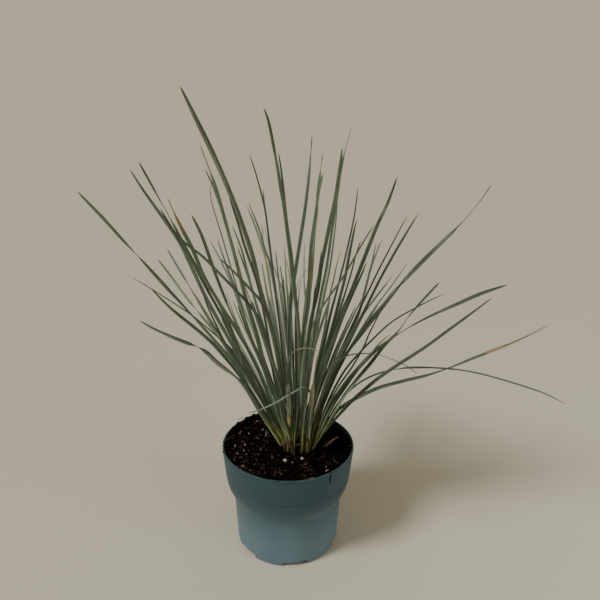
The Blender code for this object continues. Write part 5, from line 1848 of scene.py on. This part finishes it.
    def footed(self, line: Line) -> list[Vector]:
        """A leaf's line with its foot in one of the crown's two clumps and going on into the soil.

        Args:
            line: Its sections' centres, root first.

        Returns:
            The new centres, one more than before.
        """
        away = line[0].x - self.cleft
        move = copysign(self.cleft_move * (1.0 - smooth(abs(away) / self.cleft_reach)), away)
        moved = [point + Vector((move * (1.0 - smooth(gone / self.gather_length)), 0.0, 0.0))
                 for point, gone in zip(line, lengths_along(line))]
        ahead = (moved[1] - moved[0]).normalized()
        lean = Vector((ahead.x, ahead.y, 0.0)) / max(ahead.z, 0.1)
        lean *= min(1.0, self.steepest / max(lean.length, 1e-9))
        drop = moved[0].z - SOIL_LEVEL + self.buried
        return [moved[0] - (lean + Vector((0.0, 0.0, 1.0))) * drop] + moved

    def placed(self, line: Line, habit: Habit) -> list[Vector]:
        """A leaf's line moved to where the reference view has it.

        Args:
            line: Its sections' centres, root first.
            habit: How it differs from the others.

        Returns:
            The new centres.
        """
        ahead, right, _ = VIEW.axes()
        moved = []
        for point, gone in zip(line, lengths_along(line)):
            sight = point - VIEW.eye
            pixel = sight.dot(ahead) / VIEW.focal
            moved.append(point + right * (self.aside * pixel * smooth(gone / 0.06))
                         - sight.normalized() * (habit.forward * smooth((gone - habit.kept) / 0.016)))
        return moved

    def section(self, shape: Shape, centre: Vector, axes: tuple[Vector, Vector], sizes: Triple,
                shade: Callable[[float], Colour], gone: float, bloom: float) -> list[int]:
        """Add one folded cross-section with a rounded keel.

        Args:
            shape: The mesh to add it to.
            centre: Its middle.
            axes: Unit vectors out of the fold and across it.
            sizes: Its width, the depth of its fold and its thickness.
            shade: Colour at each place across, from -1 to 1.
            gone: Length from the root.
            bloom: How much waxy bloom it has.

        Returns:
            Its points, in order round it.
        """
        out, across = axes
        width, fold, thick = sizes
        ring = []
        for x in (*FOLD, *FOLD[-2:0:-1]):
            under = len(ring) >= len(FOLD)
            y = -fold * (1.0 - abs(x) ** 1.25) - (thick * (1.0 - 0.7 * abs(x)) if under else 0.0)
            ring.append(shape.point(centre + across * (0.5 * width * x) + out * y,
                                    scaled(shade(x), 0.85 if under else 1.0), x, gone,
                                    0.7 * bloom if under else bloom))
        return ring

    def blade(self, shape: Shape, blade: Leaf, line: Line, key: tuple[int, int],
              draw: random.Random) -> None:
        """Add one leaf: a folded blade that narrows to its tip.

        Args:
            shape: The mesh to add it to.
            blade: The leaf as it was traced.
            line: Its sections' centres, root first.
            key: Numbers of its shoot and of the leaf in it.
            draw: Source of its small differences.
        """
        habit = HABITS.get(key, Habit())
        marks = LEAF_MARKS.get(key, ())
        green = mixed(self.dark, self.light, draw.random() ** 1.3)
        cool = draw.uniform(-0.5, 1.0)
        green = tuple(c * (1.0 + cool * more) for c, more in zip(green, (-0.06, 0.0, 0.1)))
        # Painted light and shade by lean: inside the tuft leaves that lean right are painted much lighter,
        # and free ends that lean right are painted darker than those that lean left.
        leaning = smooth((blade.path[0][0] - 290.0) / 140.0)
        inside, outside = (left + (right - left) * leaning
                           for left, right in (self.inner_light_gain, self.outer_light_gain))
        inner = tuple(c * inside * sqrt(blade.tone) * gain for c, gain in zip(green, self.inner_gain))
        outer = tuple(c * outside * blade.tone * gain for c, gain in zip(green, self.outer_gain))
        root = mixed((0.19, 0.235, 0.065), (0.35, 0.32, 0.13), draw.random())
        tip = draw.choice((MarkColour.STRAW, MarkColour.BROWN, MarkColour.BROWN, MarkColour.RED)).value
        tip_length = draw.uniform(0.002, 0.011)
        tip_share = draw.uniform(0.35, 0.9)
        yellowing = draw.uniform(0.034, 0.074)
        # side sets which half of the fold is painted lighter and which darker, as its lit and shaded
        # halves; stripe is a pale stripe, partly the leaf's own colour and partly a painted highlight.
        side = draw.choice((-1.0, 1.0)) * draw.uniform(0.14, 0.58)
        stripe = draw.choice((-0.66, -0.3, 0.3, 0.66))
        stripe_gain = draw.uniform(0.2, 1.6)
        seed = draw.uniform(0.0, 50.0)
        lengths = lengths_along(line)
        full = habit.wider * blade.width * (1.0 + 0.38 * (1.0 - smooth((blade.width - 0.0014) / 0.0022)))
        seen = [VIEW.pixel_of(centre) for centre in line]
        from_tip = pixels_along(seen[::-1])[::-1]
        knots = [(k / (len(blade.turns) - 1), turn) for k, turn in enumerate(blade.turns)]
        rings = []
        for i, (centre, gone) in enumerate(zip(line, lengths)):
            s = i / (len(line) - 1)
            left = lengths[-1] - gone
            wobble = noise.noise(Vector((seed, 9.0 * s, 0.0)))
            patch = noise.noise(Vector((seed, 22.0 * gone, 7.0)))
            share = blade_share(s, left, blade.width)
            if habit.blunt:
                share = 0.9 * smooth(0.25 + 0.75 * left / habit.blunt)
                share *= 0.24 + 0.76 * smooth((gone - 0.016) / 0.018)
            width = full * share * (1.0 + 0.06 * wobble) * (0.8 + 0.2 * smooth(gone / 0.04))
            turn = turn_at(habit.twists, from_tip[i]) if habit.twists else turn_at(knots, s) + 0.1 * wobble
            axes = self.facing(line, i, turn)
            fold = self.keel * width * (1.0 + 0.15 * wobble + 0.6 * (1.0 - smooth(gone / 0.02)))
            fold *= 1.0 - 0.85 * smooth((abs(turn) - 0.9) / 0.6)
            tint = mixed(inner, outer, smooth((s - 0.2) / 0.4))
            tint = scaled(tint, 1.0 + 0.35 * patch)
            tint = mixed(tint, root, 0.9 * (1.0 - smooth(gone / yellowing)))
            tint = mixed(tint, tip, tip_share * (1.0 - smooth(left / tip_length)))
            marked = [(mark, mark.share_at(*seen[i])) for mark in marks]
            marked_share = max((much for _, much in marked), default=0.0)
            # Near the root the lit edge gets a painted highlight and the other edge painted shade.
            within = 1.0 - smooth((s - 0.45) / 0.2)

            def shade(x: float) -> Colour:
                """Colour of the leaf at a place across it, with its painted light and shade.

                Args:
                    x: Place across it, from -1 to 1.

                Returns:
                    The colour there.
                """
                # Painted light and shade: one half lighter, the other darker, a pale stripe, and near the
                # root a lit edge and a shaded edge.
                striped = stripe_gain * max(0.0, 1.0 - abs(x - stripe) / 0.36)
                gain = 1.0 + side * x + striped * (0.6 + 0.8 * patch)
                lit = copysign(x, side * x)
                gain *= 1.0 + within * (0.5 * smooth((lit - 0.5) / 0.3) - 0.6 * smooth((-lit - 0.4) / 0.4))
                colour = scaled(tint, gain)
                for mark, much in marked:
                    colour = mixed(colour, mark.mark_colour.value, much * mark.share_across(x))
                return colour

            bloom = smooth((gone - 0.02) / 0.06) * (0.8 + 0.4 * wobble) * (1.0 - 0.8 * marked_share)
            # Weaker bloom, and so fainter pale edges, near the root and on leaves that lean right: painted
            # shade there.
            bloom *= (0.4 + 0.6 * smooth((width - 0.001) / 0.0024)) * (1.0 - 0.45 * within)
            bloom *= min(1.0, blade.tone + 0.15) * (1.0 - 0.15 * leaning)
            sizes = (width, fold, self.thickness * (0.45 + 0.55 * share))
            rings.append(self.section(shape, centre, axes, sizes, shade, gone, bloom))
        shape.skin(rings)

    def facing(self, line: Line, i: int, turn: float) -> tuple[Vector, Vector]:
        """Unit vectors out of and across a leaf at a section, turned from facing the viewer.

        Args:
            line: The leaf's sections.
            i: Which section.
            turn: The turn in radians.

        Returns:
            The vectors out and across.
        """
        ahead = heading(line, i)
        across = ahead.cross(VIEW.eye - line[i]).normalized()
        out = across.cross(ahead).normalized()
        c = cos(turn)
        s = sin(turn)
        return out * c - across * s, across * c + out * s

    def sheath(self, shape: Shape, line: Line, draw: random.Random) -> None:
        """Add the sheath that wraps the foot of a shoot and ends in a point beside its leaves.

        Args:
            shape: The mesh to add it to.
            line: The first leaf's sections.
            draw: Source of its small differences.
        """
        low = mixed((0.045, 0.026, 0.016), (0.12, 0.095, 0.036), draw.random())
        high = draw.choice(((0.125, 0.135, 0.048), (0.105, 0.125, 0.045), (0.175, 0.15, 0.07),
                            (0.15, 0.075, 0.044), (0.115, 0.056, 0.036)))
        u = VIEW.pixel_of(line[1])[0]
        if u > 305.0 and draw.random() < 0.6:
            high = (0.13, 0.052, 0.032)
        if 292.0 < u < 301.0:
            low = scaled(low, 0.4)
            high = (0.06, 0.042, 0.024)
        length = self.sheath_length * draw.uniform(0.7, 1.35)
        turn = radians(draw.choice((draw.uniform(-50.0, 50.0), draw.uniform(130.0, 230.0))))
        lengths = lengths_along(line)
        rings = []
        for k in range(self.sheath_rings):
            s = k / (self.sheath_rings - 1)
            centre = point_at(line, lengths, length * s)
            near = min(range(len(line)), key=lambda i: (line[i] - centre).length)
            out, across = self.facing(line, near, turn)
            taper = (1.0 - 0.15 * s) * max(0.04, 1.0 - max(0.0, (s - 0.5) / 0.5) ** 1.8)
            width = self.sheath_width * taper
            tint = mixed(low, high, smooth(1.3 * s))
            centre = centre + out * (0.0004 - 0.0012 * s * s)
            rings.append(self.section(shape, centre, (out, across), (width, 0.42 * width, self.thickness),
                                      lambda x: scaled(tint, 1.0 + 0.25 * abs(x)), 0.03 + length * s, 0.1))
        shape.skin(rings)


@dataclass(frozen=True)
class Studio:
    """Plain pale floor, soft light and the camera of the reference view."""

    floor_size: float = 60.0  # Side of the floor, in metres
    sky: Colour = (0.525, 0.47, 0.342)  # Colour of the surroundings
    sky_strength: float = 1.0  # Their strength
    key_from: Triple = (-0.7, -0.42, 0.8)  # Direction that the main light comes from
    key_colour: Colour = (1.0, 0.974, 0.923)  # Its colour
    key_strength: float = 3.53  # Its strength
    key_spread: float = radians(16.0)  # How broad it is, in radians
    # Name, place, aim, side in metres, power in watts and colour of each soft square light
    panels: tuple[tuple[str, Triple, Triple, float, float, Colour], ...] = (
        ("left_panel", (-0.95, -0.42, 0.42), (0.0, 0.0, 0.16), 0.42, 0.3, (1.0, 0.98, 0.95)),
        ("right_panel", (0.85, -0.62, 0.38), (0.0, 0.0, 0.14), 0.55, 4.2, (0.97, 0.98, 1.0)),
    )

    def build(self) -> None:
        """Lay the floor, set the lights and place the camera."""
        self.floor()
        self.world()
        sun = self.light("key_light", "SUN", self.key_strength, self.key_colour, -Vector(self.key_from))
        sun.data.angle = self.key_spread
        for name, place, aim, size, power, colour in self.panels:
            panel = self.light(name, "AREA", power, colour, Vector(aim) - Vector(place))
            panel.location = place
            panel.data.shape = "SQUARE"
            panel.data.size = size
        self.camera()

    def floor(self) -> None:
        """The pale floor."""
        half = 0.5 * self.floor_size
        mesh = bpy.data.meshes.new("floor")
        corners = [(x * half, y * half, 0.0) for x, y in ((-1, -1), (1, -1), (1, 1), (-1, 1))]
        mesh.from_pydata(corners, [], [(0, 1, 2, 3)])
        mesh.materials.append(FloorFinish().material())
        floor = added("floor", mesh)

    def world(self) -> None:
        """The even pale surroundings."""
        world = bpy.data.worlds.new("studio")
        world.use_nodes = True
        back = world.node_tree.nodes["Background"]
        back.inputs["Color"].default_value = (*self.sky, 1.0)
        back.inputs["Strength"].default_value = self.sky_strength
        bpy.context.scene.world = world

    def light(self, name: str, kind: str, power: float, colour: Colour, ray: Vector) -> Piece:
        """Add a light that shines along a direction.

        Args:
            name: Its name.
            kind: The kind of light.
            power: Its strength, or its power in watts.
            colour: Its colour.
            ray: The direction.

        Returns:
            The light's object.
        """
        light = bpy.data.lights.new(name, kind)
        light.energy = power
        light.color = colour
        lamp = added(name, light)
        lamp.rotation_euler = ray.to_track_quat("-Z", "Y").to_euler()
        return lamp

    def camera(self) -> None:
        """The camera of the reference view."""
        forward, right, up = VIEW.axes()
        lens = bpy.data.cameras.new("camera")
        lens.sensor_width = 36.0
        lens.lens = VIEW.focal / (2.0 * VIEW.centre) * lens.sensor_width
        lens.clip_start = 0.01
        lens.clip_end = 50.0
        camera = added("camera", lens)
        turned = Matrix((right, up, -forward)).transposed().to_4x4()
        camera.matrix_world = Matrix.Translation(VIEW.eye) @ turned
        bpy.context.scene.camera = camera


def main() -> None:
    """Build the pot, the soil and the tuft, then the studio round them."""
    logging.basicConfig(level=logging.INFO, format="%(message)s")
    pot = Pot()
    pot.build(PlasticFinish().material())
    PottingSoil(pot).build()
    Tuft().build(LeafFinish().material())
    Studio().build()


if __name__ == "__main__":
    main()
